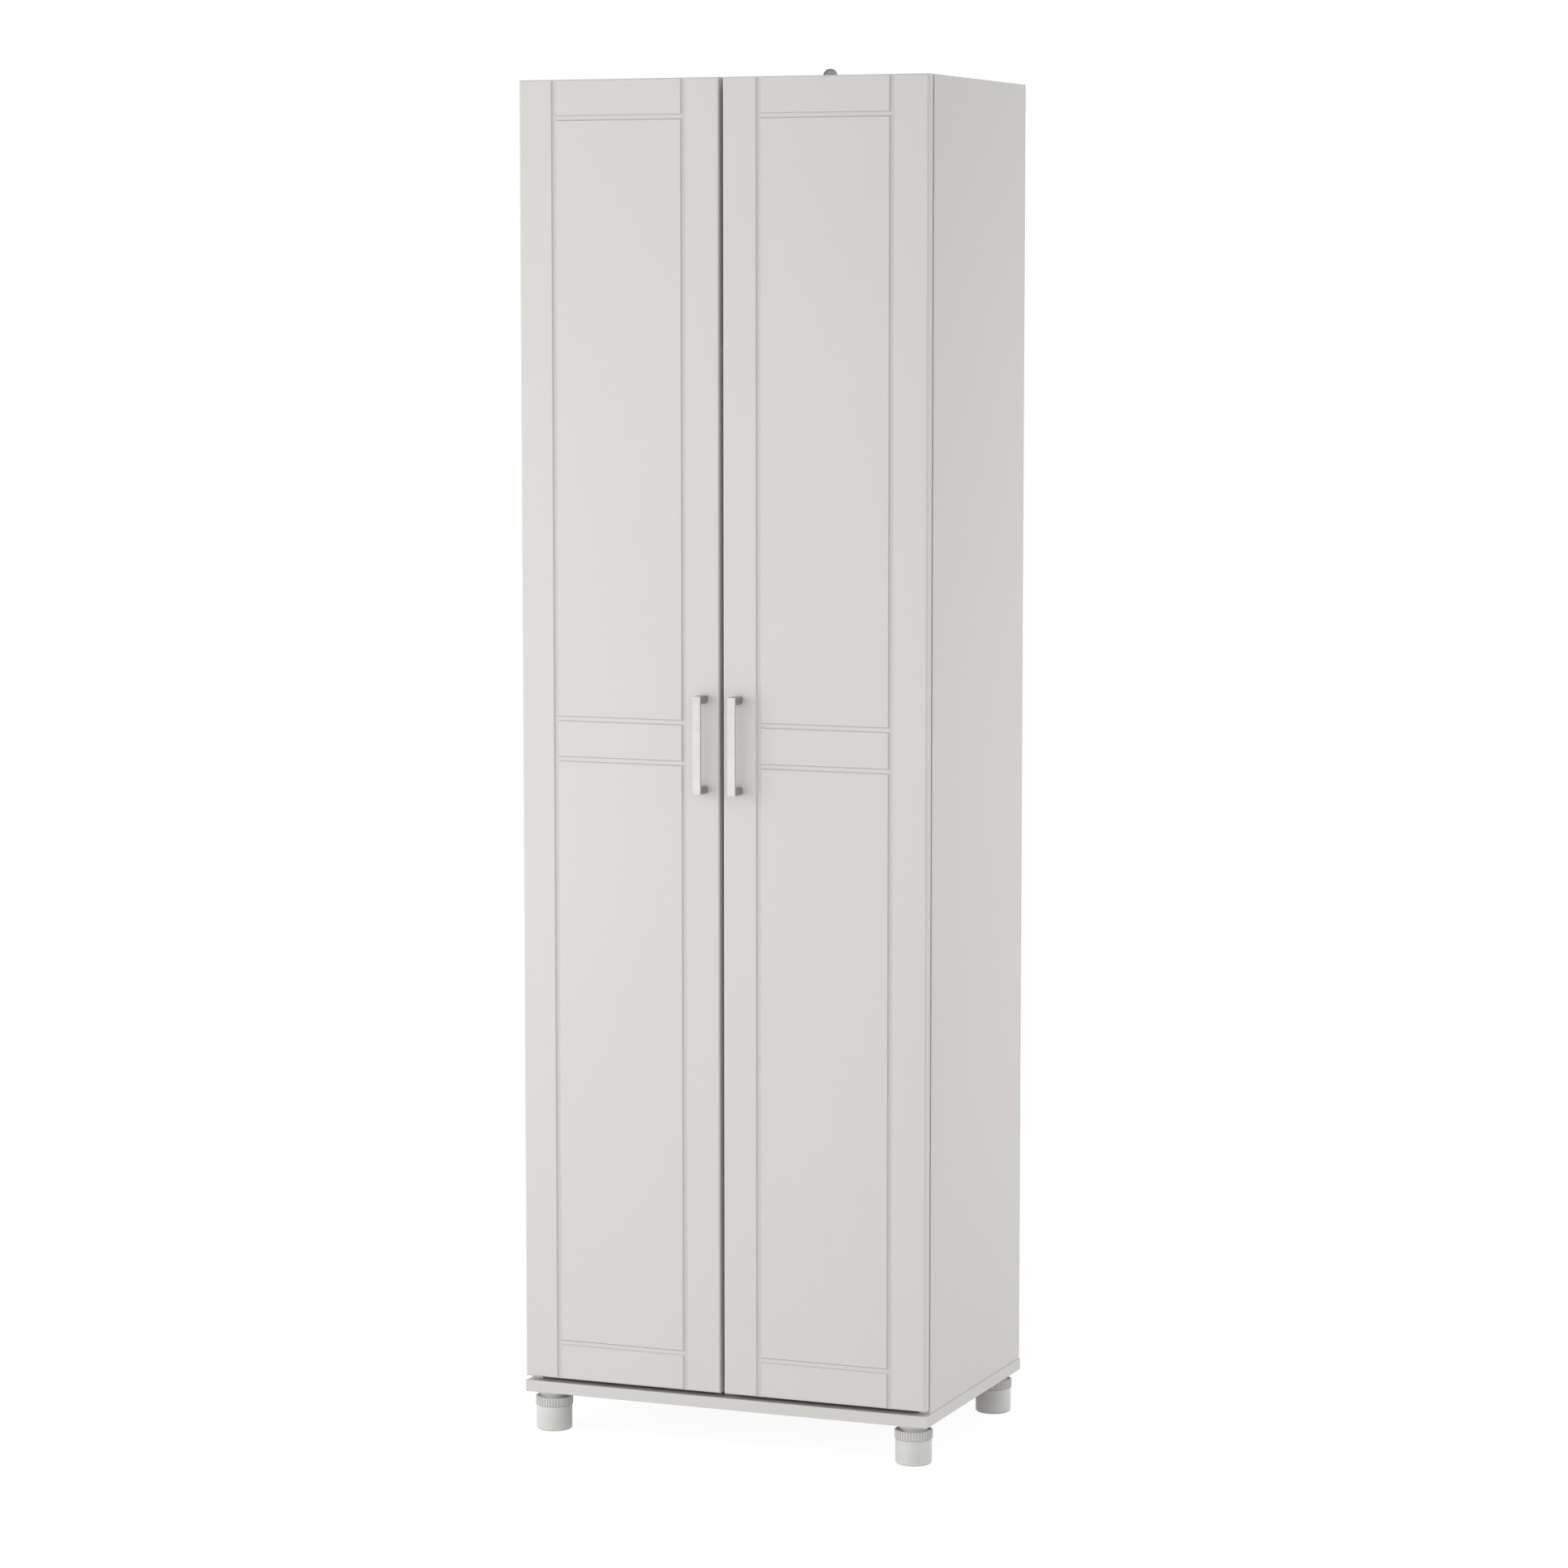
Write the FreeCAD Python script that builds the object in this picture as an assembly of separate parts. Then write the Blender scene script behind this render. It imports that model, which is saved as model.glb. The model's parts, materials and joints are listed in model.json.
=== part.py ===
import FreeCAD, Part
import math
import os

# A broom cupboard: a tall case of laminated board that stands on four levelling feet.
# Two doors hang on concealed cup hinges. Behind them a divider parts a tall broom bay on the
# left from a bay of adjustable shelves on the right, both under a fixed shelf.
# Millimetres. The floor is Z = 0, +Z is up, the doors face -Y, and X = 0 is mid width.
# Y = 0 is midway between the fronts of the handles and the back of the case.

Vector = FreeCAD.Vector
X_AXIS = Vector(1, 0, 0)
Y_AXIS = Vector(0, 1, 0)
Z_AXIS = Vector(0, 0, 1)
SIDES = (("left", -1), ("right", 1))
ENDS = (("front", -1), ("back", 1))

# Case
CASE_WIDTH = 592.0
CASE_DEPTH = 366.5
CASE_HEIGHT = 1795.0
PANEL_THICKNESS = 16.0
PANEL_EDGE_RADIUS = 0.6
BASE_SIDE_OVERHANG = 2.0
BASE_FRONT_OVERHANG = 18.5
BLIND_HOLE_SKIN = 4.0

# Folding back of two hardboard leaves
BACK_THICKNESS = 3.0
BACK_EDGE_INSET = 1.0
BACK_FOLD_GAP = 0.5
FOLD_TAPE_WIDTH = 40.0
FOLD_TAPE_THICKNESS = 0.4

# Shelves and divider
SHELF_NAMES = ("lower", "middle", "upper")
DIVIDER_FRONT_SETBACK = 10.0
SHELF_HINGE_CLEARANCE = 4.0
SHELF_END_GAP = 1.5
SHELF_BACK_GAP = 1.0
SHELF_PIN_EDGE = 37.0
SHELF_PIN_PITCH = 32.0
SHELF_PIN_SPARE_HOLES = 1
SHELF_PIN_RADIUS = 2.45
SHELF_PIN_STUB_RADIUS = 3.0
SHELF_PIN_STUB_LENGTH = 8.0
SHELF_PIN_COLLAR_RADIUS = 4.5
SHELF_PIN_COLLAR_THICKNESS = 1.2

# Doors
DOOR_THICKNESS = 16.0
DOOR_CASE_GAP = 5.5
DOOR_SIDE_OVERHANG = 0.0
DOOR_CENTRE_GAP = 6.0
DOOR_BASE_GAP = 7.0
DOOR_EDGE_RADIUS = 2.6
DOOR_HOLE_SKIN = 6.0
RAIL_WIDTH = 47.5
GROOVE_WIDTH = 8.0
GROOVE_FLOOR = 4.5
GROOVE_DEPTH = 2.0
BUMPER_RADIUS = 5.0
BUMPER_EDGE = 30.0
BUMPER_CLEARANCE = 0.3

# Handles
HANDLE_LENGTH = 133.0
HANDLE_WIDTH = 11.5
HANDLE_PROJECTION = 27.0
HANDLE_BAR_THICKNESS = 4.0
HANDLE_POST_HEIGHT = 10.5
HANDLE_POST_ROUND = 5.5
HANDLE_HOLE_SPACING = 128.0
HANDLE_EDGE = 22.3
HANDLE_SCREW_RADIUS = 1.7
HANDLE_SCREW_GRIP = 8.0
HANDLE_SCREW_HEAD_RADIUS = 4.0
HANDLE_SCREW_HEAD_HEIGHT = 2.2

# Concealed hinges
HINGES_PER_DOOR = 4
HINGE_END = 100.0
CUP_DIAMETER = 35.0
CUP_DEPTH = 12.5
CUP_WALL = 2.0
CUP_FLOOR = 1.0
CUP_EDGE = 4.0
CUP_FLANGE_RADIUS = 19.0
CUP_FLANGE_THICKNESS = 1.0
CUP_WING_HALF_WIDTH = 7.0
CUP_WING_HALF_LENGTH = 30.0
CUP_SCREW_OFFSET = 24.0
HINGE_PIN_RADIUS = 1.5
HINGE_PIN_END_CLEARANCE = 0.2
KNUCKLE_RADIUS = 2.6
KNUCKLE_HALF_WIDTH = 5.0
KNUCKLE_ROOM = 1.4
ARM_STRIP = 2.5
ARM_DROP = 2.25
ARM_ROOM = 1.25
ARM_HEIGHT = 5.25
ARM_HALF_WIDTH = 6.0
ARM_START = 10.0
ARM_END = 60.0
PLATE_SETBACK = 37.0
PLATE_BLOCK_HALF_LENGTH = 17.0
PLATE_BLOCK_HALF_WIDTH = 6.5
PLATE_HEIGHT = 6.0
PLATE_WING_THICKNESS = 2.0
PLATE_WING_HALF_WIDTH = 10.0
PLATE_WING_HALF_LENGTH = 25.0
PLATE_SCREW_OFFSET = 16.0
CLAMP_SCREW_RADIUS = 2.0
CLAMP_SCREW_GRIP = 4.5

# Small wood screws of hinges, feet and wall bracket
WOOD_SCREW_RADIUS = 1.75
WOOD_SCREW_HEAD_RADIUS = 2.9
WOOD_SCREW_HEAD_HEIGHT = 1.8

# Case fasteners
ASSEMBLY_SCREW_RADIUS = 3.2
ASSEMBLY_SCREW_LENGTH = 48.0
ASSEMBLY_SCREW_HEAD_RADIUS = 5.0
ASSEMBLY_SCREW_HEAD_HEIGHT = 3.5
ASSEMBLY_SCREW_EDGE = 110.0
DOWEL_RADIUS = 3.95
DOWEL_END_DEPTH = 18.0
DOWEL_EDGE = 85.0
CAM_RADIUS = 7.4
CAM_SKIN = 3.5
CAM_REACH = 34.0
CAM_EDGE = 60.0
CAM_BOLT_RADIUS = 2.9
CAM_BOLT_HEAD_RADIUS = 3.6
CAM_BOLT_HEAD_LENGTH = 4.0
NAIL_RADIUS = 0.9
NAIL_LENGTH = 20.0
NAIL_HEAD_RADIUS = 2.4
NAIL_HEAD_HEIGHT = 0.8
NAIL_EDGE = 60.0
NAILS_PER_SIDE = 12
NAILS_PER_RAIL = 3

# Levelling feet
FOOT_HEIGHT = 56.0
FOOT_INSET = 30.0
FLANGE_RADIUS = 23.5
FLANGE_THICKNESS = 4.0
FLANGE_SCREW_CIRCLE = 20.0
FLANGE_SCREWS = 3
SHOULDER_RADIUS = 16.5
JOURNAL_RADIUS = 15.0
LIP_HEIGHT = 0.8
LIP_LENGTH = 2.5
BOSS_LENGTH = 28.0
COLLAR_RADIUS = 26.25
COLLAR_WALL = 2.95
COLLAR_DROP = 9.0
COLLAR_HEIGHT = 12.3
COLLAR_CHAMFER_HEIGHT = 2.0
COLLAR_CHAMFER = 0.8
WEB_RECESS = 2.0
WEB_THICKNESS = 2.0
RIB_COUNT = 40
RIB_GROOVE_RADIUS = 1.15
RIB_GROOVE_DEPTH = 0.85
FOOT_CUP_RADIUS = 25.0
FOOT_CUP_WALL = 2.5
FOOT_CUP_FLOOR = 3.0
FOOT_CUP_ROUND = 3.0
NECK_WALL = 2.5
STEM_RADIUS = 8.0
STEM_FLAT = 6.5
STEM_TOP_GAP = 4.0

# Wall bracket
BRACKET_THICKNESS = 2.0
BRACKET_LEG = 40.0
BRACKET_OFFSET = 5.5
EAR_RADIUS = 11.0
EAR_HEIGHT = 16.0
EAR_HOLE_RADIUS = 2.5
EAR_BOSS_RADIUS = 4.6
EAR_BOSS_HEIGHT = 1.0
EAR_RIM_WIDTH = 1.3
EAR_RIM_HEIGHT = 0.6
BRACKET_SCREW_FRONT = 9.0
BRACKET_SCREW_PITCH = 15.0

# Fits
SCREW_CLEARANCE = 0.1
PLUG_CLEARANCE = 0.1
PIN_RUNNING_CLEARANCE = 0.06
FOOT_RUNNING_CLEARANCE = 0.3

# Levels that follow from the sizes above
half_width = CASE_WIDTH / 2
inner_half = half_width - PANEL_THICKNESS
base_half = half_width + BASE_SIDE_OVERHANG
blind_depth = PANEL_THICKNESS - BLIND_HOLE_SKIN
total_depth = HANDLE_PROJECTION + DOOR_THICKNESS + DOOR_CASE_GAP + CASE_DEPTH + BACK_THICKNESS
y_back = total_depth / 2
y_case_back = y_back - BACK_THICKNESS
y_case_front = y_case_back - CASE_DEPTH
y_base_front = y_case_front - BASE_FRONT_OVERHANG
y_door_back = y_case_front - DOOR_CASE_GAP
y_door_front = y_door_back - DOOR_THICKNESS
y_handle_front = y_door_front - HANDLE_PROJECTION
z_base = FOOT_HEIGHT
z_case = z_base + PANEL_THICKNESS
z_top = z_case + CASE_HEIGHT
z_ceiling = z_top - PANEL_THICKNESS
z_door = z_case + DOOR_BASE_GAP
door_height = z_top - z_door
door_middle = z_door + door_height / 2

# The hinge pin lies in the cup as near to the door's edge as its knuckle allows.
cup_radius = CUP_DIAMETER / 2
cup_inner_radius = cup_radius - CUP_WALL
pin_offset = cup_inner_radius - KNUCKLE_RADIUS - KNUCKLE_ROOM
pin_depth = CUP_DEPTH - CUP_FLOOR - ARM_ROOM - ARM_DROP
cup_inward = CUP_EDGE + cup_radius - DOOR_SIDE_OVERHANG
pin_inward = cup_inward - pin_offset
pin_y = y_door_back - pin_depth
arm_inward = PANEL_THICKNESS + PLATE_HEIGHT + ARM_HEIGHT
hinge_pitch = (door_height - 2 * HINGE_END) / (HINGES_PER_DOOR - 1)
hinge_heights = [z_door + HINGE_END + hinge_pitch * count for count in range(HINGES_PER_DOOR)]

# The fixed shelf lies midway between the two top hinges, clear of both.
z_shelf = (hinge_heights[-1] + hinge_heights[-2] - PANEL_THICKNESS) / 2
y_shelf_front = y_case_front + ARM_END + SHELF_HINGE_CLEARANCE

pieces = {}
holes = {}


def add(node, solid):
    """Put a solid into a named node."""
    pieces.setdefault(node, []).append(solid)


def drill(node, tool):
    """Note a tool that is cut out of every solid of a node."""
    holes.setdefault(node, []).append(tool)


def block(x, y, z):
    """Return a box between pairs of limits on X, Y and Z, each pair in either order."""
    low = Vector(min(x), min(y), min(z))
    high = Vector(max(x), max(y), max(z))
    size = high - low
    return Part.makeBox(size.x, size.y, size.z, low)


def rod(radius, start, axis, length):
    """Return a cylinder from a start point along an axis."""
    return Part.makeCylinder(radius, length, start, axis)


def panel(x, y, z):
    """Return a board with lightly eased edges."""
    board = block(x, y, z)
    return board.makeFillet(PANEL_EDGE_RADIUS, board.Edges)


def revolved(outline):
    """Return the solid that a closed outline of (radius, height) corners sweeps about Z."""
    corners = [Vector(radius, 0, height) for radius, height in outline]
    face = Part.Face(Part.makePolygon(corners + corners[:1]))
    return face.revolve(Vector(0, 0, 0), Z_AXIS, 360)


def inward(sign, distance):
    """Return the X of a point at a distance inwards from the case's outer face."""
    return sign * (half_width - distance)


def spread(low, high, count):
    """Return evenly spaced values from low to high."""
    return [low + (high - low) * index / (count - 1) for index in range(count)]


def headed_screw(seat, axis, length, radius, head_radius, head_height):
    """Return a screw whose head stands on a seat and whose shank runs along the axis."""
    shank = rod(radius, seat, axis, length)
    head = rod(head_radius, seat - axis * head_height, axis, head_height)
    return head.fuse(shank).removeSplitter()


def wood_screw(node, seat, axis, length, *drilled):
    """Add a small wood screw and drill its hole in each named node."""
    screw = headed_screw(
        seat, axis, length, WOOD_SCREW_RADIUS, WOOD_SCREW_HEAD_RADIUS, WOOD_SCREW_HEAD_HEIGHT
    )
    add(node, screw)
    for name in drilled:
        bore = WOOD_SCREW_RADIUS + SCREW_CLEARANCE
        drill(name, rod(bore, seat, axis, length + SCREW_CLEARANCE))


def build_case():
    """Add the boards of the case."""
    y_case = (y_case_front, y_case_back)
    base_y = (y_base_front, y_case_back)
    add("base_panel", panel((-base_half, base_half), base_y, (z_base, z_case)))
    for side, sign in SIDES:
        x = (sign * inner_half, sign * half_width)
        add(f"{side}_side_panel", panel(x, y_case, (z_case, z_top)))
    x_inside = (-inner_half, inner_half)
    add("top_panel", panel(x_inside, y_case, (z_ceiling, z_top)))
    add("fixed_shelf", panel(x_inside, y_case, (z_shelf, z_shelf + PANEL_THICKNESS)))
    x_divider = (-PANEL_THICKNESS / 2, PANEL_THICKNESS / 2)
    divider_y = (y_case_front + DIVIDER_FRONT_SETBACK, y_case_back)
    add("divider_panel", panel(x_divider, divider_y, (z_case, z_shelf)))


def build_back():
    """Add the two hardboard leaves, the tape that joins them and their nails."""
    z_back = (z_base + BACK_EDGE_INSET, z_top - BACK_EDGE_INSET)
    y_tape = (y_back - FOLD_TAPE_THICKNESS, y_back)
    tape = block((-FOLD_TAPE_WIDTH / 2, FOLD_TAPE_WIDTH / 2), y_tape, z_back)
    add("back_fold_tape", tape)
    for side, sign in SIDES:
        leaf = f"back_panel_{side}"
        x = (sign * BACK_FOLD_GAP / 2, sign * (half_width - BACK_EDGE_INSET))
        add(leaf, block(x, (y_case_back, y_back), z_back))
        drill(leaf, tape)
        nail_back(leaf, side, sign)


def nail_back(leaf, side, sign):
    """Add one leaf's nails, set flush, into the side, the top, the shelf and the base."""
    side_x = sign * (half_width - PANEL_THICKNESS / 2)
    rail_levels = {
        "base_panel": z_base + PANEL_THICKNESS / 2,
        "fixed_shelf": z_shelf + PANEL_THICKNESS / 2,
        "top_panel": z_top - PANEL_THICKNESS / 2,
    }
    side_panel = f"{side}_side_panel"
    for z in spread(z_case + NAIL_EDGE, z_top - NAIL_EDGE, NAILS_PER_SIDE):
        add_nail(leaf, side_panel, side_x, z)
    rail_start = sign * NAIL_EDGE
    rail_end = sign * (inner_half - NAIL_EDGE)
    for rail, z in rail_levels.items():
        for x in spread(rail_start, rail_end, NAILS_PER_RAIL):
            add_nail(leaf, rail, x, z)


def add_nail(leaf, board, x, z):
    """Add one nail through a hardboard leaf into a board's back edge."""
    seat = Vector(x, y_back - NAIL_HEAD_HEIGHT, z)
    inwards = -Y_AXIS
    nail = headed_screw(seat, inwards, NAIL_LENGTH, NAIL_RADIUS, NAIL_HEAD_RADIUS, NAIL_HEAD_HEIGHT)
    add("back_nails", nail)
    shank_hole = rod(NAIL_RADIUS + SCREW_CLEARANCE, seat, inwards, NAIL_LENGTH + SCREW_CLEARANCE)
    head_hole = rod(NAIL_HEAD_RADIUS + SCREW_CLEARANCE, seat, Y_AXIS, NAIL_HEAD_HEIGHT)
    drill(leaf, shank_hole)
    drill(leaf, head_hole)
    drill(board, shank_hole)


def edge_pair(distance):
    """Return the two Y places at a distance from the front and back edges of the case."""
    return (y_case_front + distance, y_case_back - distance)


def add_dowel(seat, axis, face_board, end_board):
    """Add a dowel at a joint, from a board's face along the axis into another board's end."""
    face_end = seat - axis * blind_depth
    length = blind_depth + DOWEL_END_DEPTH
    add("dowels", rod(DOWEL_RADIUS, face_end, axis, length))
    hole_start = face_end - axis * PLUG_CLEARANCE
    hole = rod(DOWEL_RADIUS + PLUG_CLEARANCE, hole_start, axis, length + 2 * PLUG_CLEARANCE)
    drill(face_board, hole)
    drill(end_board, hole)


def add_cam(y, z_board, sign, side, board):
    """Add a cam lock and its bolt where a level board meets a side."""
    axis = X_AXIS * -sign
    bolt_z = z_board + PANEL_THICKNESS / 2
    seat = Vector(sign * inner_half, y, bolt_z)
    cam_depth = PANEL_THICKNESS - CAM_SKIN
    cam_x = sign * (inner_half - CAM_REACH)
    cam_foot = Vector(cam_x, y, z_board)
    bolt_start = seat - axis * blind_depth
    head_start = seat + axis * (CAM_REACH - CAM_BOLT_HEAD_LENGTH)
    bolt = rod(CAM_BOLT_RADIUS, bolt_start, axis, blind_depth + CAM_REACH - CAM_BOLT_HEAD_LENGTH)
    head = rod(CAM_BOLT_HEAD_RADIUS, head_start, axis, CAM_BOLT_HEAD_LENGTH)
    add("cam_bolts", bolt.fuse(head).removeSplitter())
    bolt_room = CAM_BOLT_HEAD_RADIUS + PLUG_CLEARANCE
    slot_x = (cam_x - sign * PLUG_CLEARANCE, cam_x + sign * CAM_RADIUS)
    slot = block(slot_x, (y - bolt_room, y + bolt_room), (bolt_z - bolt_room, bolt_z + bolt_room))
    add("cam_locks", rod(CAM_RADIUS, cam_foot, Z_AXIS, cam_depth).cut(slot))
    drill(board, rod(CAM_RADIUS + PLUG_CLEARANCE, cam_foot, Z_AXIS, cam_depth + PLUG_CLEARANCE))
    drill(board, rod(bolt_room, seat, axis, CAM_REACH + PLUG_CLEARANCE))
    side_hole_start = seat - axis * (blind_depth + PLUG_CLEARANCE)
    side_hole = rod(CAM_BOLT_RADIUS + PLUG_CLEARANCE, side_hole_start, axis, PANEL_THICKNESS)
    drill(f"{side}_side_panel", side_hole)


def add_assembly_screw(seat, axis, through_board, end_board):
    """Add a long screw, set flush in one board, that holds another board's end."""
    head_seat = seat + axis * ASSEMBLY_SCREW_HEAD_HEIGHT
    length = ASSEMBLY_SCREW_LENGTH - ASSEMBLY_SCREW_HEAD_HEIGHT
    screw = headed_screw(
        head_seat,
        axis,
        length,
        ASSEMBLY_SCREW_RADIUS,
        ASSEMBLY_SCREW_HEAD_RADIUS,
        ASSEMBLY_SCREW_HEAD_HEIGHT,
    )
    add("assembly_screws", screw)
    bore = rod(ASSEMBLY_SCREW_RADIUS + SCREW_CLEARANCE, seat, axis, ASSEMBLY_SCREW_LENGTH + SCREW_CLEARANCE)
    recess = rod(ASSEMBLY_SCREW_HEAD_RADIUS + SCREW_CLEARANCE, seat, axis, ASSEMBLY_SCREW_HEAD_HEIGHT)
    drill(through_board, bore)
    drill(through_board, recess)
    drill(end_board, bore)


def build_joinery():
    """Add the dowels, cam locks and long screws that hold the case together."""
    z_shelf_top = z_shelf + PANEL_THICKNESS
    for side, sign in SIDES:
        side_panel = f"{side}_side_panel"
        side_x = sign * (half_width - PANEL_THICKNESS / 2)
        for board, z_board in (("top_panel", z_ceiling), ("fixed_shelf", z_shelf)):
            for y in edge_pair(CAM_EDGE):
                add_cam(y, z_board, sign, side, board)
            for y in edge_pair(DOWEL_EDGE):
                seat = Vector(sign * inner_half, y, z_board + PANEL_THICKNESS / 2)
                add_dowel(seat, X_AXIS * -sign, side_panel, board)
        for y in edge_pair(DOWEL_EDGE):
            add_dowel(Vector(side_x, y, z_case), Z_AXIS, "base_panel", side_panel)
        for y in edge_pair(ASSEMBLY_SCREW_EDGE):
            add_assembly_screw(Vector(side_x, y, z_base), Z_AXIS, "base_panel", side_panel)
    for y in edge_pair(DOWEL_EDGE):
        add_dowel(Vector(0, y, z_case), Z_AXIS, "base_panel", "divider_panel")
        add_dowel(Vector(0, y, z_shelf), -Z_AXIS, "fixed_shelf", "divider_panel")
    for y in edge_pair(ASSEMBLY_SCREW_EDGE):
        add_assembly_screw(Vector(0, y, z_base), Z_AXIS, "base_panel", "divider_panel")
        add_assembly_screw(Vector(0, y, z_shelf_top), -Z_AXIS, "fixed_shelf", "divider_panel")


def build_shelves():
    """Add the adjustable shelves of the right bay on their pins, with spare pin holes."""
    x_left = PANEL_THICKNESS / 2
    x_right = inner_half
    y_shelf_back = y_case_back - SHELF_BACK_GAP
    shelf_x = (x_left + SHELF_END_GAP, x_right - SHELF_END_GAP)
    pin_rows = (y_shelf_front + SHELF_PIN_EDGE, y_shelf_back - SHELF_PIN_EDGE)
    bay_pitch = (z_shelf - z_case - PANEL_THICKNESS * len(SHELF_NAMES)) / (len(SHELF_NAMES) + 1)
    for index, name in enumerate(SHELF_NAMES, start=1):
        z = z_case + bay_pitch * index + PANEL_THICKNESS * (index - 1)
        shelf = panel(shelf_x, (y_shelf_front, y_shelf_back), (z, z + PANEL_THICKNESS))
        add(f"adjustable_shelf_{name}", shelf)
        pin_z = z - SHELF_PIN_STUB_RADIUS
        for y in pin_rows:
            add_shelf_pin(Vector(x_left, y, pin_z), X_AXIS, "divider_panel")
            add_shelf_pin(Vector(x_right, y, pin_z), -X_AXIS, "right_side_panel")


def add_shelf_pin(seat, axis, board):
    """Add one shelf pin and drill its hole with the spare holes above and below it."""
    start = seat - axis * blind_depth
    shank = rod(SHELF_PIN_RADIUS, start, axis, blind_depth)
    collar = rod(SHELF_PIN_COLLAR_RADIUS, seat, axis, SHELF_PIN_COLLAR_THICKNESS)
    stub = rod(SHELF_PIN_STUB_RADIUS, seat, axis, SHELF_PIN_STUB_LENGTH)
    add("shelf_pins", shank.fuse([collar, stub]).removeSplitter())
    hole_depth = blind_depth + PLUG_CLEARANCE
    for step in range(-SHELF_PIN_SPARE_HOLES, SHELF_PIN_SPARE_HOLES + 1):
        hole_start = seat - axis * hole_depth + Z_AXIS * (step * SHELF_PIN_PITCH)
        drill(board, rod(SHELF_PIN_RADIUS + PLUG_CLEARANCE, hole_start, axis, hole_depth))


def door_span(sign):
    """Return a door's outer and free edges on X."""
    return sign * (half_width + DOOR_SIDE_OVERHANG), sign * DOOR_CENTRE_GAP / 2


def groove(start, across, run):
    """Return a tool with sloping walls for a groove in a door's front, from a start along a run."""
    top = across * (GROOVE_WIDTH / 2)
    floor = across * (GROOVE_FLOOR / 2)
    drop = Y_AXIS * GROOVE_DEPTH
    corners = [start - top, start + top, start + floor + drop, start - floor + drop]
    return Part.Face(Part.makePolygon(corners + corners[:1])).extrude(run)


def build_door(side, sign):
    """Add a door's board with its routed frame lines, and its bumpers."""
    outer, free = door_span(sign)
    board = block((outer, free), (y_door_front, y_door_back), (z_door, z_top))
    front_edges = [edge for edge in board.Edges if edge.BoundBox.YMax < y_door_back]
    node = f"{side}_door_panel"
    add(node, board.makeFillet(DOOR_EDGE_RADIUS, front_edges))
    half_groove = GROOVE_WIDTH / 2
    lines = (outer - sign * (RAIL_WIDTH + half_groove), free + sign * (RAIL_WIDTH + half_groove))
    for x in lines:
        drill(node, groove(Vector(x, y_door_front, z_door), X_AXIS, Z_AXIS * door_height))
    rail_line = (RAIL_WIDTH + GROOVE_WIDTH) / 2
    levels = (
        z_door + RAIL_WIDTH + half_groove,
        door_middle - rail_line,
        door_middle + rail_line,
        z_top - RAIL_WIDTH - half_groove,
    )
    rail_run = X_AXIS * (lines[1] - lines[0])
    for z in levels:
        drill(node, groove(Vector(lines[0], y_door_front, z), Z_AXIS, rail_run))
    bumper_length = DOOR_CASE_GAP - BUMPER_CLEARANCE
    bumper_x = free + sign * BUMPER_EDGE
    for z in (z_shelf + PANEL_THICKNESS / 2, z_top - PANEL_THICKNESS / 2):
        bumper = rod(BUMPER_RADIUS, Vector(bumper_x, y_door_back, z), Y_AXIS, bumper_length)
        add(f"{side}_door_bumpers", bumper)


def handle_profile(x):
    """Return the side outline of a handle as a face in the plane at X."""
    half = HANDLE_LENGTH / 2
    grip = half - HANDLE_POST_HEIGHT
    round_y = y_door_front - HANDLE_POST_ROUND
    bar_y = y_handle_front + HANDLE_BAR_THICKNESS
    diagonal = HANDLE_POST_ROUND * math.sqrt(0.5)

    def point(y, z):
        return Vector(x, y, door_middle + z)

    def corner(turn):
        foot = point(y_door_front, turn * (grip + HANDLE_POST_ROUND))
        middle = point(round_y + diagonal, turn * (grip + HANDLE_POST_ROUND - diagonal))
        return foot, middle, point(round_y, turn * grip)

    low_foot, low_middle, low_inner = corner(-1)
    high_foot, high_middle, high_inner = corner(1)
    low_end = Part.makePolygon(
        [low_foot, point(y_door_front, -half), point(y_handle_front, -half), point(y_handle_front, half)]
    )
    high_end = Part.makePolygon([point(y_handle_front, half), point(y_door_front, half), high_foot])
    grip_line = Part.makePolygon([high_inner, point(bar_y, grip), point(bar_y, -grip), low_inner])
    low_arc = Part.Arc(low_inner, low_middle, low_foot).toShape()
    high_arc = Part.Arc(high_foot, high_middle, high_inner).toShape()
    edges = low_end.Edges + high_end.Edges + [high_arc] + grip_line.Edges + [low_arc]
    return Part.Face(Part.Wire(edges))


def build_handle(side, sign):
    """Add a door's handle and the two screws that hold it from behind."""
    free = door_span(sign)[1]
    middle_x = free + sign * HANDLE_EDGE
    handle = handle_profile(middle_x - HANDLE_WIDTH / 2).extrude(X_AXIS * HANDLE_WIDTH)
    add(f"{side}_handle", handle)
    length = DOOR_THICKNESS + HANDLE_SCREW_GRIP
    for turn in (-1, 1):
        seat = Vector(middle_x, y_door_back, door_middle + turn * HANDLE_HOLE_SPACING / 2)
        screw = headed_screw(
            seat, -Y_AXIS, length, HANDLE_SCREW_RADIUS, HANDLE_SCREW_HEAD_RADIUS, HANDLE_SCREW_HEAD_HEIGHT
        )
        add(f"{side}_handle_screws", screw)
        bore = rod(HANDLE_SCREW_RADIUS + SCREW_CLEARANCE, seat, -Y_AXIS, length + SCREW_CLEARANCE)
        drill(f"{side}_door_panel", bore)
        drill(f"{side}_handle", bore)


def build_hinges(side, sign):
    """Add one door's concealed hinges: cups and pins on the door, arms and plates on the case."""
    for z in hinge_heights:
        add_cup(side, sign, z)
        add_arm(side, sign, z)
        add_plate(side, sign, z)


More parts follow.
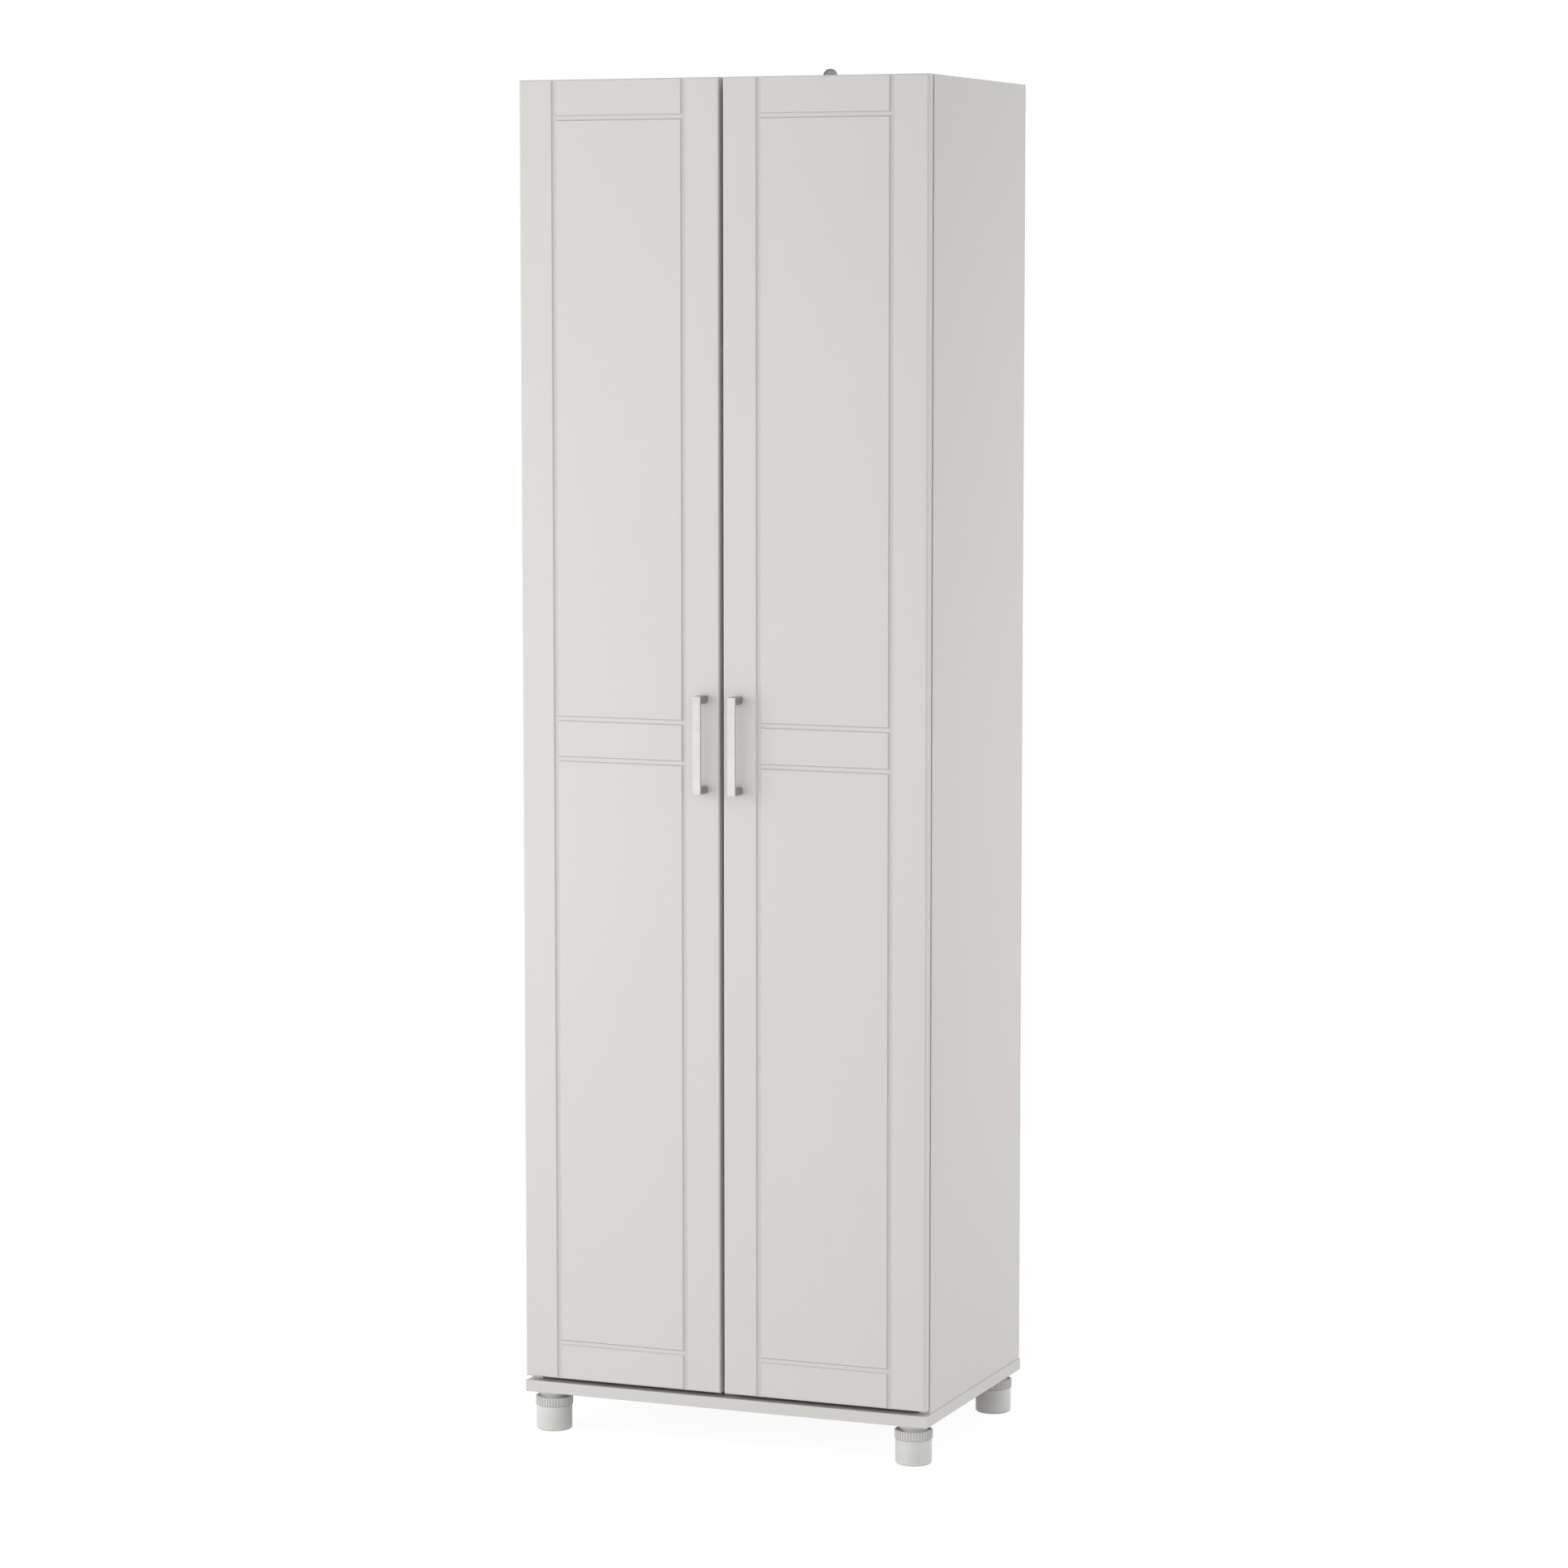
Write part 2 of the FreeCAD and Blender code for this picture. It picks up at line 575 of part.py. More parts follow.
def add_cup(side, sign, z):
    """Add a hinge cup let into the door, its two screws and the pin across it."""
    node = f"{side}_hinge_cups"
    door = f"{side}_door_panel"
    cup_x = inward(sign, cup_inward)
    floor = Vector(cup_x, y_door_back - CUP_DEPTH, z)
    mouth = Vector(cup_x, y_door_back, z)
    shell = rod(cup_radius, floor, Y_AXIS, CUP_DEPTH)
    flange = rod(CUP_FLANGE_RADIUS, mouth, Y_AXIS, CUP_FLANGE_THICKNESS)
    wing = block(
        (cup_x - CUP_WING_HALF_WIDTH, cup_x + CUP_WING_HALF_WIDTH),
        (y_door_back, y_door_back + CUP_FLANGE_THICKNESS),
        (z - CUP_WING_HALF_LENGTH, z + CUP_WING_HALF_LENGTH),
    )
    hollow_depth = CUP_DEPTH - CUP_FLOOR + CUP_FLANGE_THICKNESS
    hollow = rod(cup_inner_radius, floor + Y_AXIS * CUP_FLOOR, Y_AXIS, hollow_depth)
    outer_chord = math.sqrt(cup_radius ** 2 - (pin_offset + HINGE_PIN_RADIUS) ** 2)
    pin_half = outer_chord - HINGE_PIN_END_CLEARANCE
    pin_foot = Vector(inward(sign, pin_inward), pin_y, z - pin_half)
    add(f"{side}_hinge_pins", rod(HINGE_PIN_RADIUS, pin_foot, Z_AXIS, 2 * pin_half))
    pin_hole = rod(HINGE_PIN_RADIUS + PIN_RUNNING_CLEARANCE, pin_foot, Z_AXIS, 2 * pin_half)
    add(node, shell.fuse([flange, wing]).removeSplitter().cut([hollow, pin_hole]))
    pocket_start = floor - Y_AXIS * PLUG_CLEARANCE
    drill(door, rod(cup_radius + PLUG_CLEARANCE, pocket_start, Y_AXIS, CUP_DEPTH + PLUG_CLEARANCE))
    screw_length = DOOR_THICKNESS - DOOR_HOLE_SKIN + CUP_FLANGE_THICKNESS
    for turn in (-1, 1):
        seat = Vector(cup_x, y_door_back + CUP_FLANGE_THICKNESS, z + turn * CUP_SCREW_OFFSET)
        wood_screw(f"{side}_hinge_cup_screws", seat, -Y_AXIS, screw_length, node, door)


def add_arm(side, sign, z):
    """Add a hinge arm: a knuckle on the pin, a cranked strip and a body on its plate."""
    pin_x = inward(sign, pin_inward)
    arm_x = inward(sign, arm_inward)
    strip_x = inward(sign, arm_inward - ARM_STRIP)
    strip_z = (z - KNUCKLE_HALF_WIDTH, z + KNUCKLE_HALF_WIDTH)
    strip_y = pin_y - ARM_DROP
    body_front = y_case_front + ARM_START
    knuckle_foot = Vector(pin_x, pin_y, strip_z[0])
    knuckle = rod(KNUCKLE_RADIUS, knuckle_foot, Z_AXIS, 2 * KNUCKLE_HALF_WIDTH)
    across = block((pin_x, arm_x), (strip_y, strip_y + ARM_STRIP), strip_z)
    along = block((strip_x, arm_x), (strip_y, body_front), strip_z)
    body = block(
        (inward(sign, PANEL_THICKNESS + PLATE_HEIGHT), arm_x),
        (body_front, y_case_front + ARM_END),
        (z - ARM_HALF_WIDTH, z + ARM_HALF_WIDTH),
    )
    bore = rod(HINGE_PIN_RADIUS + PIN_RUNNING_CLEARANCE, knuckle_foot, Z_AXIS, 2 * KNUCKLE_HALF_WIDTH)
    add(f"{side}_hinge_arms", knuckle.fuse([across, along, body]).removeSplitter().cut(bore))


def add_plate(side, sign, z):
    """Add a hinge's mounting plate, its wood screws and the clamp screw of its arm."""
    plate = f"{side}_hinge_plates"
    plate_y = y_case_front + PLATE_SETBACK
    board_x = inward(sign, PANEL_THICKNESS)
    wing_x = inward(sign, PANEL_THICKNESS + PLATE_WING_THICKNESS)
    wings = block(
        (board_x, wing_x),
        (plate_y - PLATE_WING_HALF_WIDTH, plate_y + PLATE_WING_HALF_WIDTH),
        (z - PLATE_WING_HALF_LENGTH, z + PLATE_WING_HALF_LENGTH),
    )
    carrier = block(
        (board_x, inward(sign, PANEL_THICKNESS + PLATE_HEIGHT)),
        (plate_y - PLATE_BLOCK_HALF_LENGTH, plate_y + PLATE_BLOCK_HALF_LENGTH),
        (z - PLATE_BLOCK_HALF_WIDTH, z + PLATE_BLOCK_HALF_WIDTH),
    )
    add(plate, wings.fuse(carrier).removeSplitter())
    outwards = X_AXIS * sign
    for turn in (-1, 1):
        seat = Vector(wing_x, plate_y, z + turn * PLATE_SCREW_OFFSET)
        length = PLATE_WING_THICKNESS + blind_depth
        wood_screw("hinge_plate_screws", seat, outwards, length, plate, f"{side}_side_panel")
    seat = Vector(inward(sign, arm_inward), plate_y, z)
    length = ARM_HEIGHT + CLAMP_SCREW_GRIP
    clamp = headed_screw(
        seat, outwards, length, CLAMP_SCREW_RADIUS, WOOD_SCREW_HEAD_RADIUS, WOOD_SCREW_HEAD_HEIGHT
    )
    add("hinge_clamp_screws", clamp)
    bore = rod(CLAMP_SCREW_RADIUS + SCREW_CLEARANCE, seat, outwards, length + SCREW_CLEARANCE)
    drill(plate, bore)
    drill(f"{side}_hinge_arms", bore)


def foot_places():
    """Return each foot's name and the point below it on the floor."""
    front_y = y_base_front + FOOT_INSET
    back_y = y_case_back - FOOT_INSET
    places = []
    for end, turn in ENDS:
        y = front_y if turn < 0 else back_y
        for side, sign in SIDES:
            places.append((f"{end}_{side}", Vector(sign * (base_half - FOOT_INSET), y, 0)))
    return places


def keyed_rod(radius, flat, low, high):
    """Return an upright rod with two flats that keep it from turning."""
    length = high - low
    room = 2 * radius
    slab = block((-flat, flat), (-room, room), (low, high))
    return rod(radius, Vector(0, 0, low), Z_AXIS, length).common(slab)


def build_feet():
    """Add the four feet: a fixed socket, a ribbed collar that turns and a cup that it lowers."""
    gap = FOOT_RUNNING_CLEARANCE
    rim = z_base - COLLAR_DROP
    web_top = rim - WEB_RECESS
    web_bottom = web_top - WEB_THICKNESS
    collar_bottom = rim - COLLAR_HEIGHT
    flange_bottom = z_base - FLANGE_THICKNESS
    boss_bottom = z_base - BOSS_LENGTH
    lip_top = web_bottom - gap
    lip_bottom = lip_top - LIP_LENGTH
    shoulder_bottom = web_top + gap
    stem_top = flange_bottom - STEM_TOP_GAP

    socket = revolved(
        [
            (0, z_base),
            (FLANGE_RADIUS, z_base),
            (FLANGE_RADIUS, flange_bottom),
            (SHOULDER_RADIUS, flange_bottom),
            (SHOULDER_RADIUS, shoulder_bottom),
            (JOURNAL_RADIUS, shoulder_bottom),
            (JOURNAL_RADIUS, lip_top),
            (JOURNAL_RADIUS + LIP_HEIGHT, lip_top),
            (JOURNAL_RADIUS + LIP_HEIGHT, lip_bottom),
            (JOURNAL_RADIUS, lip_bottom),
            (JOURNAL_RADIUS, boss_bottom),
            (0, boss_bottom),
        ]
    )
    socket = socket.cut(keyed_rod(STEM_RADIUS + gap, STEM_FLAT + gap, boss_bottom, flange_bottom))

    collar_inner = COLLAR_RADIUS - COLLAR_WALL
    collar = revolved(
        [
            (collar_inner, rim),
            (COLLAR_RADIUS, rim),
            (COLLAR_RADIUS, collar_bottom + COLLAR_CHAMFER_HEIGHT),
            (COLLAR_RADIUS - COLLAR_CHAMFER, collar_bottom),
            (collar_inner, collar_bottom),
            (collar_inner, web_bottom),
            (JOURNAL_RADIUS + gap, web_bottom),
            (JOURNAL_RADIUS + gap, web_top),
            (collar_inner, web_top),
        ]
    )
    groove_circle = COLLAR_RADIUS - RIB_GROOVE_DEPTH + RIB_GROOVE_RADIUS
    grooves = []
    for index in range(RIB_COUNT):
        angle = 2 * math.pi * index / RIB_COUNT
        foot = Vector(groove_circle * math.cos(angle), groove_circle * math.sin(angle), collar_bottom)
        grooves.append(rod(RIB_GROOVE_RADIUS, foot, Z_AXIS, COLLAR_HEIGHT))
    collar = collar.cut(grooves)

    neck_outer = collar_inner - gap
    neck_inner = neck_outer - NECK_WALL
    cup_inner = FOOT_CUP_RADIUS - FOOT_CUP_WALL
    shoulder = collar_bottom - gap
    shoulder_floor = shoulder - FOOT_CUP_WALL
    cup = revolved(
        [
            (0, 0),
            (FOOT_CUP_RADIUS, 0),
            (FOOT_CUP_RADIUS, shoulder),
            (neck_outer, shoulder),
            (neck_outer, lip_top),
            (neck_inner, lip_top),
            (neck_inner, shoulder_floor),
            (cup_inner, shoulder_floor),
            (cup_inner, FOOT_CUP_FLOOR),
            (0, FOOT_CUP_FLOOR),
        ]
    )
    low_edges = [edge for edge in cup.Edges if edge.BoundBox.ZMax < FOOT_CUP_FLOOR / 2]
    cup = cup.makeFillet(FOOT_CUP_ROUND, [edge for edge in low_edges if edge.isClosed()])
    cup = cup.fuse(keyed_rod(STEM_RADIUS, STEM_FLAT, FOOT_CUP_FLOOR, stem_top)).removeSplitter()

    for name, place in foot_places():
        add(f"{name}_foot_collar", collar.translated(place))
        add(f"{name}_foot_cup", cup.translated(place))
        add("foot_sockets", socket.translated(place))
        for index in range(FLANGE_SCREWS):
            angle = 2 * math.pi * index / FLANGE_SCREWS
            offset = Vector(math.cos(angle), math.sin(angle), 0) * FLANGE_SCREW_CIRCLE
            seat = place + offset + Z_AXIS * flange_bottom
            length = FLANGE_THICKNESS + blind_depth
            wood_screw("foot_socket_screws", seat, Z_AXIS, length, "foot_sockets", "base_panel")


def build_bracket():
    """Add the wall bracket that stands up at the back of the top, and its two screws."""
    leg_y = (y_back - BRACKET_LEG, y_back)
    ear_y = (y_back - BRACKET_THICKNESS, y_back)
    ear_z = z_top + EAR_HEIGHT
    centre = Vector(BRACKET_OFFSET, y_back, ear_z)
    forward = -Y_AXIS
    x = (BRACKET_OFFSET - EAR_RADIUS, BRACKET_OFFSET + EAR_RADIUS)
    leg = block(x, leg_y, (z_top, z_top + BRACKET_THICKNESS))
    neck = block(x, ear_y, (z_top, ear_z))
    disc = rod(EAR_RADIUS, centre, forward, BRACKET_THICKNESS)
    rim_height = BRACKET_THICKNESS + EAR_RIM_HEIGHT
    rim = rod(EAR_RADIUS, centre, forward, rim_height)
    rim = rim.cut(rod(EAR_RADIUS - EAR_RIM_WIDTH, centre, forward, rim_height))
    boss_height = BRACKET_THICKNESS + EAR_BOSS_HEIGHT
    boss = rod(EAR_BOSS_RADIUS, centre, forward, boss_height)
    hole = rod(EAR_HOLE_RADIUS, centre, forward, boss_height)
    add("wall_bracket", leg.fuse([neck, disc, rim, boss]).removeSplitter().cut(hole))
    first_y = leg_y[0] + BRACKET_SCREW_FRONT
    for y in (first_y, first_y + BRACKET_SCREW_PITCH):
        seat = Vector(BRACKET_OFFSET, y, z_top + BRACKET_THICKNESS)
        length = BRACKET_THICKNESS + blind_depth
        wood_screw("wall_bracket_screws", seat, -Z_AXIS, length, "wall_bracket", "top_panel")


def save_parts():
    """Cut the noted holes and write each node to its own file."""
    os.makedirs("parts", exist_ok=True)
    for node, solids in pieces.items():
        tools = holes.get(node, [])
        finished = []
        for solid in solids:
            shape = solid.cut(tools) if tools else solid
            finished.extend(shape.Solids)
        shape = finished[0] if len(finished) == 1 else Part.Compound(finished)
        shape.exportStep(f"parts/{node}.step")
        print(node, len(finished), round(shape.Volume), shape.isValid())


build_case()
build_back()
build_joinery()
build_shelves()
for side_name, side_sign in SIDES:
    build_door(side_name, side_sign)
    build_handle(side_name, side_sign)
    build_hinges(side_name, side_sign)
build_feet()
build_bracket()
save_parts()
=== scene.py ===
"""Dresses the broom cupboard: finishes, handles, feet, hinges and fasteners, with a studio and a camera.

Metres throughout. The floor is Z = 0, the doors face -Y and X = 0 is mid width.
"""

import json
import logging
import math
from dataclasses import dataclass
from enum import Enum, IntEnum

import bmesh
import bpy
from mathutils import Matrix, Vector


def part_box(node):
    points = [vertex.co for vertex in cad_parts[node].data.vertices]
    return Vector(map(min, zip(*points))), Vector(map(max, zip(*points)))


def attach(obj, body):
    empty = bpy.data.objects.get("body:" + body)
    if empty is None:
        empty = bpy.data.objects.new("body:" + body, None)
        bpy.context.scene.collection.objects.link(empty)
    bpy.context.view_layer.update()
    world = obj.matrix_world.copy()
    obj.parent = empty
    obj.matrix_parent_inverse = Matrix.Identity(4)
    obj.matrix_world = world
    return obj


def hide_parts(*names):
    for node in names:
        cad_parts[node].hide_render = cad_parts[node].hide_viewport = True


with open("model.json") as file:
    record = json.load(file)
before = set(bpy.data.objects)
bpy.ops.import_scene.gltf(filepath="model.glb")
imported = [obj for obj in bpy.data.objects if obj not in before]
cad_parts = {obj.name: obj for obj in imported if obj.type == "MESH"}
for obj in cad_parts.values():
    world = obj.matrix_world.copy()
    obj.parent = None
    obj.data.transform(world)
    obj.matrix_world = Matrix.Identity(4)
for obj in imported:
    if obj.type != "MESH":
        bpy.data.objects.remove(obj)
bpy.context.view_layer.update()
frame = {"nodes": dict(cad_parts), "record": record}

Colour = tuple[float, float, float]
Marks = tuple[float, float, float]
Span = tuple[float, float]
Outline = list[tuple[float, float]]
Material = bpy.types.Material
Mesh = bpy.types.Mesh
Piece = bpy.types.Object
Socket = bpy.types.NodeSocket

LOG = logging.getLogger("cupboard")
MILLIMETRE = 0.001
WHITE = (1.0, 1.0, 1.0, 1.0)
SIDES = ("left", "right")
FEET = ("front_left", "front_right", "back_left", "back_right")

# Corners closer than WELD are one, and those within SAME_LEVEL lie at one height along an axis. Solids are
# sorted by corners rounded to SORT_DIGITS.
WELD = 1e-6
SAME_LEVEL = 1e-5
SORT_DIGITS = 5

# An edge bent by more than SHARP_EDGE stays crisp.
SHARP_EDGE = math.radians(35)

# A noise lies mostly between NOISE_LOW and NOISE_HIGH, and a wave of scale 1 repeats each WAVE_PERIOD.
NOISE_LOW = 0.3
NOISE_HIGH = 0.7
WAVE_PERIOD = 0.314


class Grain(Enum):
    """The way a board's pressed grain runs, as marks to the metre along X, Y and Z."""

    UPRIGHT = (380.0, 380.0, 9.0)
    LEVEL = (9.0, 380.0, 380.0)


class Brushing(Enum):
    """The way a metal was rubbed, as marks to the metre along X, Y and Z."""

    UPRIGHT = (2600.0, 2600.0, 35.0)
    ALONG = (2600.0, 35.0, 2600.0)
    EVEN = (1400.0, 1400.0, 1400.0)


class Drive(Enum):
    """The recess in a fastener's head, as its number of crossing bars."""

    PLAIN = 0
    CROSS = 2


class Groove(IntEnum):
    """The place of a groove's painted shade among a door panel's materials, after the board itself."""

    UPRIGHT = 1
    LEVEL = 2


class Bar(IntEnum):
    """The place of a finish among a handle's materials: the edge and post finishes are darker copies of the
    front's nickel, painted shade.
    """

    FRONT = 0
    EDGE = 1
    POST = 2


def scaled(colour: Colour, share: float) -> tuple[float, float, float, float]:
    """Return a colour made darker or lighter, with full alpha."""
    return (colour[0] * share, colour[1] * share, colour[2] * share, 1.0)


class NodeGraph:
    """A node tree in the making."""

    def __init__(self, tree: bpy.types.NodeTree) -> None:
        """Keep the tree that gets the nodes."""
        self.tree = tree

    def add(self, kind: str, inputs: dict | None = None, **settings: object) -> bpy.types.Node:
        """Add a node.

        Args:
            kind: the node's type.
            inputs: values, sockets or lists of sockets to link, by the name or number of an input.
            settings: properties of the node itself.

        Returns:
            The new node.
        """
        node = self.tree.nodes.new(kind)
        for name, value in settings.items():
            setattr(node, name, value)
        for name, value in (inputs or {}).items():
            for item in value if isinstance(value, list) else [value]:
                if isinstance(item, Socket):
                    self.tree.links.new(item, node.inputs[name])
                else:
                    node.inputs[name].default_value = item
        return node

    def reckon(self, operation: str, *terms: Socket | float) -> Socket:
        """Return the result of an operation on sockets or numbers."""
        return self.add("ShaderNodeMath", dict(enumerate(terms)), operation=operation).outputs[0]


class ShaderGraph(NodeGraph):
    """A material in the making: one principled shader and the nodes that feed it."""

    def __init__(self, name: str) -> None:
        """Start an empty material.

        Args:
            name: the material's name.
        """
        self.material = bpy.data.materials.new(name)
        self.material.use_nodes = True
        super().__init__(self.material.node_tree)
        self.tree.nodes.clear()
        self.shader = self.add("ShaderNodeBsdfPrincipled")
        self.add("ShaderNodeOutputMaterial", {"Surface": self.shader.outputs["BSDF"]})
        self.place = self.add("ShaderNodeTexCoord").outputs["Object"]

    def noise(self, scale: Marks | float, detail: float) -> Socket:
        """Return a noise.

        Args:
            scale: marks to the metre along X, Y and Z, or one number for all three.
            detail: how many finer layers it has.

        Returns:
            The socket that gives the noise's height.
        """
        marks = scale if isinstance(scale, tuple) else (scale,) * 3
        mapping = self.add("ShaderNodeMapping", {"Vector": self.place, "Scale": marks})
        inputs = {"Vector": mapping.outputs["Vector"], "Scale": 1.0, "Detail": detail}
        return self.add("ShaderNodeTexNoise", inputs).outputs["Fac"]

    def remap(self, value: Socket, low: float, high: float) -> Socket:
        """Return a noise's usual range stretched over two limits."""
        limits = {"From Min": NOISE_LOW, "From Max": NOISE_HIGH, "To Min": low, "To Max": high}
        return self.add("ShaderNodeMapRange", {"Value": value, **limits}).outputs["Result"]

    def blend(self, share: Socket, first: object, second: object) -> Socket:
        """Return a colour between two others, each a colour or a socket."""
        inputs = {0: share, 6: first, 7: second}
        return self.add("ShaderNodeMix", inputs, data_type="RGBA").outputs[2]

    def shades(self, share: Socket, colour: Colour, tones: Span) -> Socket:
        """Return a colour that runs from a dark to a pale tone of itself, each a share of it."""
        return self.blend(share, scaled(colour, tones[0]), scaled(colour, tones[1]))

    def sum(self, first: Socket, second: Socket, part: float) -> Socket:
        """Return the first value with a part of the second added."""
        return self.reckon("MULTIPLY_ADD", second, part, first)

    def mottle(self, main: Socket, other: Socket, part: float) -> Socket:
        """Return a noise with a part of another mixed in, stretched from 0 to 1."""
        return self.remap(self.sum(main, self.remap(other, -0.5, 0.5), part), 0.0, 1.0)

    def surface(self, **constants: object) -> None:
        """Set values that are the same all over, by the shader's socket names with _ for spaces."""
        for name, value in constants.items():
            self.shader.inputs[name.replace("_", " ")].default_value = value

    def connect(self, **sockets: Socket) -> None:
        """Link sockets to the shader, by its socket names with _ for spaces."""
        for name, socket in sockets.items():
            self.tree.links.new(socket, self.shader.inputs[name.replace("_", " ")])

    def roughen(self, value: Socket, roughness: Span) -> None:
        """Let a noise vary the roughness over a span."""
        self.connect(Roughness=self.remap(value, *roughness))

    def bump(self, height: Socket, depth: float) -> None:
        """Raise and sink the surface by a height of that depth in metres."""
        node = self.add("ShaderNodeBump", {"Height": height, "Strength": 1.0, "Distance": depth})
        self.connect(Normal=node.outputs["Normal"])


@dataclass(frozen=True)
class Laminate:
    """Pale paper laminate with a faint pressed grain."""

    name: str
    colour: Colour
    grain: Grain
    clouds: float = 2.5
    pores: float = 2200.0
    grain_part: float = 0.25
    pore_part: float = 0.6
    tones: Span = (0.991, 1.009)
    roughness: Span = (0.44, 0.52)
    specular: float = 0.4
    depth: float = 0.02 * MILLIMETRE

    def make(self) -> Material:
        """Return the material."""
        graph = ShaderGraph(self.name)
        streaks = graph.noise(self.grain.value, detail=3.0)
        clouds = graph.noise(self.clouds, detail=2.0)
        pores = graph.noise(self.pores, detail=1.0)
        share = graph.mottle(clouds, streaks, self.grain_part)
        graph.connect(Base_Color=graph.shades(share, self.colour, self.tones))
        graph.roughen(streaks, self.roughness)
        graph.surface(Specular_IOR_Level=self.specular)
        graph.bump(graph.sum(streaks, pores, self.pore_part), self.depth)
        return graph.material


@dataclass(frozen=True)
class Hardboard:
    """Pressed fibre board, coated pale on the inner face and bare brown behind."""

    name: str
    coat: Colour
    fibre: Colour
    turn_y: float
    fibres: Marks = (700.0, 700.0, 260.0)
    flecks: float = 1900.0
    clouds: float = 5.0
    cloud_part: float = 0.12
    fleck_part: float = 0.5
    fibre_tones: Span = (0.8, 1.2)
    coat_tones: Span = (0.98, 1.02)
    roughness: Span = (0.62, 0.78)
    depth: float = 0.06 * MILLIMETRE

    def make(self) -> Material:
        """Return the material."""
        graph = ShaderGraph(self.name)
        fibres = graph.noise(self.fibres, detail=5.0)
        flecks = graph.noise(self.flecks, detail=2.0)
        clouds = graph.noise(self.clouds, detail=2.0)
        share = graph.mottle(fibres, clouds, self.cloud_part)
        bare = graph.shades(share, self.fibre, self.fibre_tones)
        coat = graph.shades(share, self.coat, self.coat_tones)
        depth = graph.add("ShaderNodeSeparateXYZ", {"Vector": graph.place}).outputs["Y"]
        behind = graph.reckon("GREATER_THAN", depth, self.turn_y)
        graph.connect(Base_Color=graph.blend(behind, coat, bare))
        graph.roughen(fibres, self.roughness)
        graph.bump(graph.sum(fibres, flecks, self.fleck_part), self.depth)
        return graph.material


@dataclass(frozen=True)
class Tape:
    """Paper tape with a fine crossed weave pressed into it."""

    name: str
    colour: Colour
    pitch: float = 0.7 * MILLIMETRE
    wobble: float = 0.6
    stains: float = 30.0
    tones: Span = (0.95, 1.03)
    roughness: Span = (0.62, 0.72)
    depth: float = 0.03 * MILLIMETRE

    def make(self) -> Material:
        """Return the material."""
        graph = ShaderGraph(self.name)
        inputs = {"Vector": graph.place, "Scale": WAVE_PERIOD / self.pitch, "Distortion": self.wobble}
        warp, weft = (graph.add("ShaderNodeTexWave", inputs, bands_direction=axis) for axis in ("X", "Z"))
        weave = graph.sum(warp.outputs["Fac"], weft.outputs["Fac"], 1.0)
        stain = graph.remap(graph.noise(self.stains, detail=3.0), 0.0, 1.0)
        graph.connect(Base_Color=graph.shades(stain, self.colour, self.tones))
        graph.roughen(stain, self.roughness)
        graph.bump(weave, self.depth)
        return graph.material


@dataclass(frozen=True)
class Metal:
    """Rubbed or plated metal with fine marks."""

    name: str
    colour: Colour
    roughness: Span
    brushing: Brushing = Brushing.UPRIGHT
    tones: Span = (0.96, 1.04)
    depth: float = 0.006 * MILLIMETRE
    haze: float = 60.0
    mark_part: float = 0.6

    def make(self) -> Material:
        """Return the material."""
        graph = ShaderGraph(self.name)
        marks = graph.noise(self.brushing.value, detail=2.0)
        haze = graph.noise(self.haze, detail=2.0)
        share = graph.mottle(haze, marks, self.mark_part)
        graph.connect(Base_Color=graph.shades(share, self.colour, self.tones))
        graph.roughen(marks, self.roughness)
        graph.surface(Metallic=1.0)
        graph.bump(marks, self.depth)
        return graph.material


@dataclass(frozen=True)
class RingedMetal:
    """Dull plated metal with fine rings about a point, as on the wall bracket's ear, raised a little and
    painted in dark and pale bands: painted shade and highlight of the rings.
    """

    name: str
    colour: Colour
    centre: Vector
    ring: float
    spots: float = 900.0
    spot_part: float = 0.15
    painted_ring_shade_part: float = 0.8
    tones: Span = (0.4, 1.5)
    metallic: float = 0.85
    roughness: Span = (0.34, 0.5)
    depth: float = 0.3 * MILLIMETRE

    def make(self) -> Material:
        """Return the material."""
        graph = ShaderGraph(self.name)
        moved = graph.add("ShaderNodeMapping", {"Vector": graph.place, "Location": -self.centre})
        inputs = {"Vector": moved.outputs["Vector"], "Scale": WAVE_PERIOD / self.ring}
        rings = graph.add("ShaderNodeTexWave", inputs, wave_type="RINGS", rings_direction="Y").outputs["Fac"]
        spots = graph.noise(self.spots, detail=3.0)
        # The rings darken and lighten the colour strongly: painted shade and highlight.
        share = graph.sum(graph.remap(spots, -self.spot_part, self.spot_part), rings, self.painted_ring_shade_part)
        graph.connect(Base_Color=graph.shades(share, self.colour, self.tones))
        graph.roughen(spots, self.roughness)
        graph.surface(Metallic=self.metallic)
        graph.bump(rings, self.depth)
        return graph.material


@dataclass(frozen=True)
class Plastic:
    """Moulded plastic with a fine sparked skin."""

    name: str
    colour: Colour
    roughness: Span = (0.36, 0.48)
    subsurface: float = 0.0
    skin: float = 1500.0
    flow: Marks = (22.0, 22.0, 70.0)
    tones: Span = (0.97, 1.03)
    scatter: float = 1.0 * MILLIMETRE
    depth: float = 0.02 * MILLIMETRE

    def make(self) -> Material:
        """Return the material."""
        graph = ShaderGraph(self.name)
        skin = graph.noise(self.skin, detail=3.0)
        flow = graph.noise(self.flow, detail=2.0)
        share = graph.remap(flow, 0.0, 1.0)
        graph.connect(Base_Color=graph.shades(share, self.colour, self.tones))
        graph.roughen(skin, self.roughness)
        graph.surface(Subsurface_Weight=self.subsurface, Subsurface_Radius=(self.scatter,) * 3)
        graph.bump(skin, self.depth)
        return graph.material


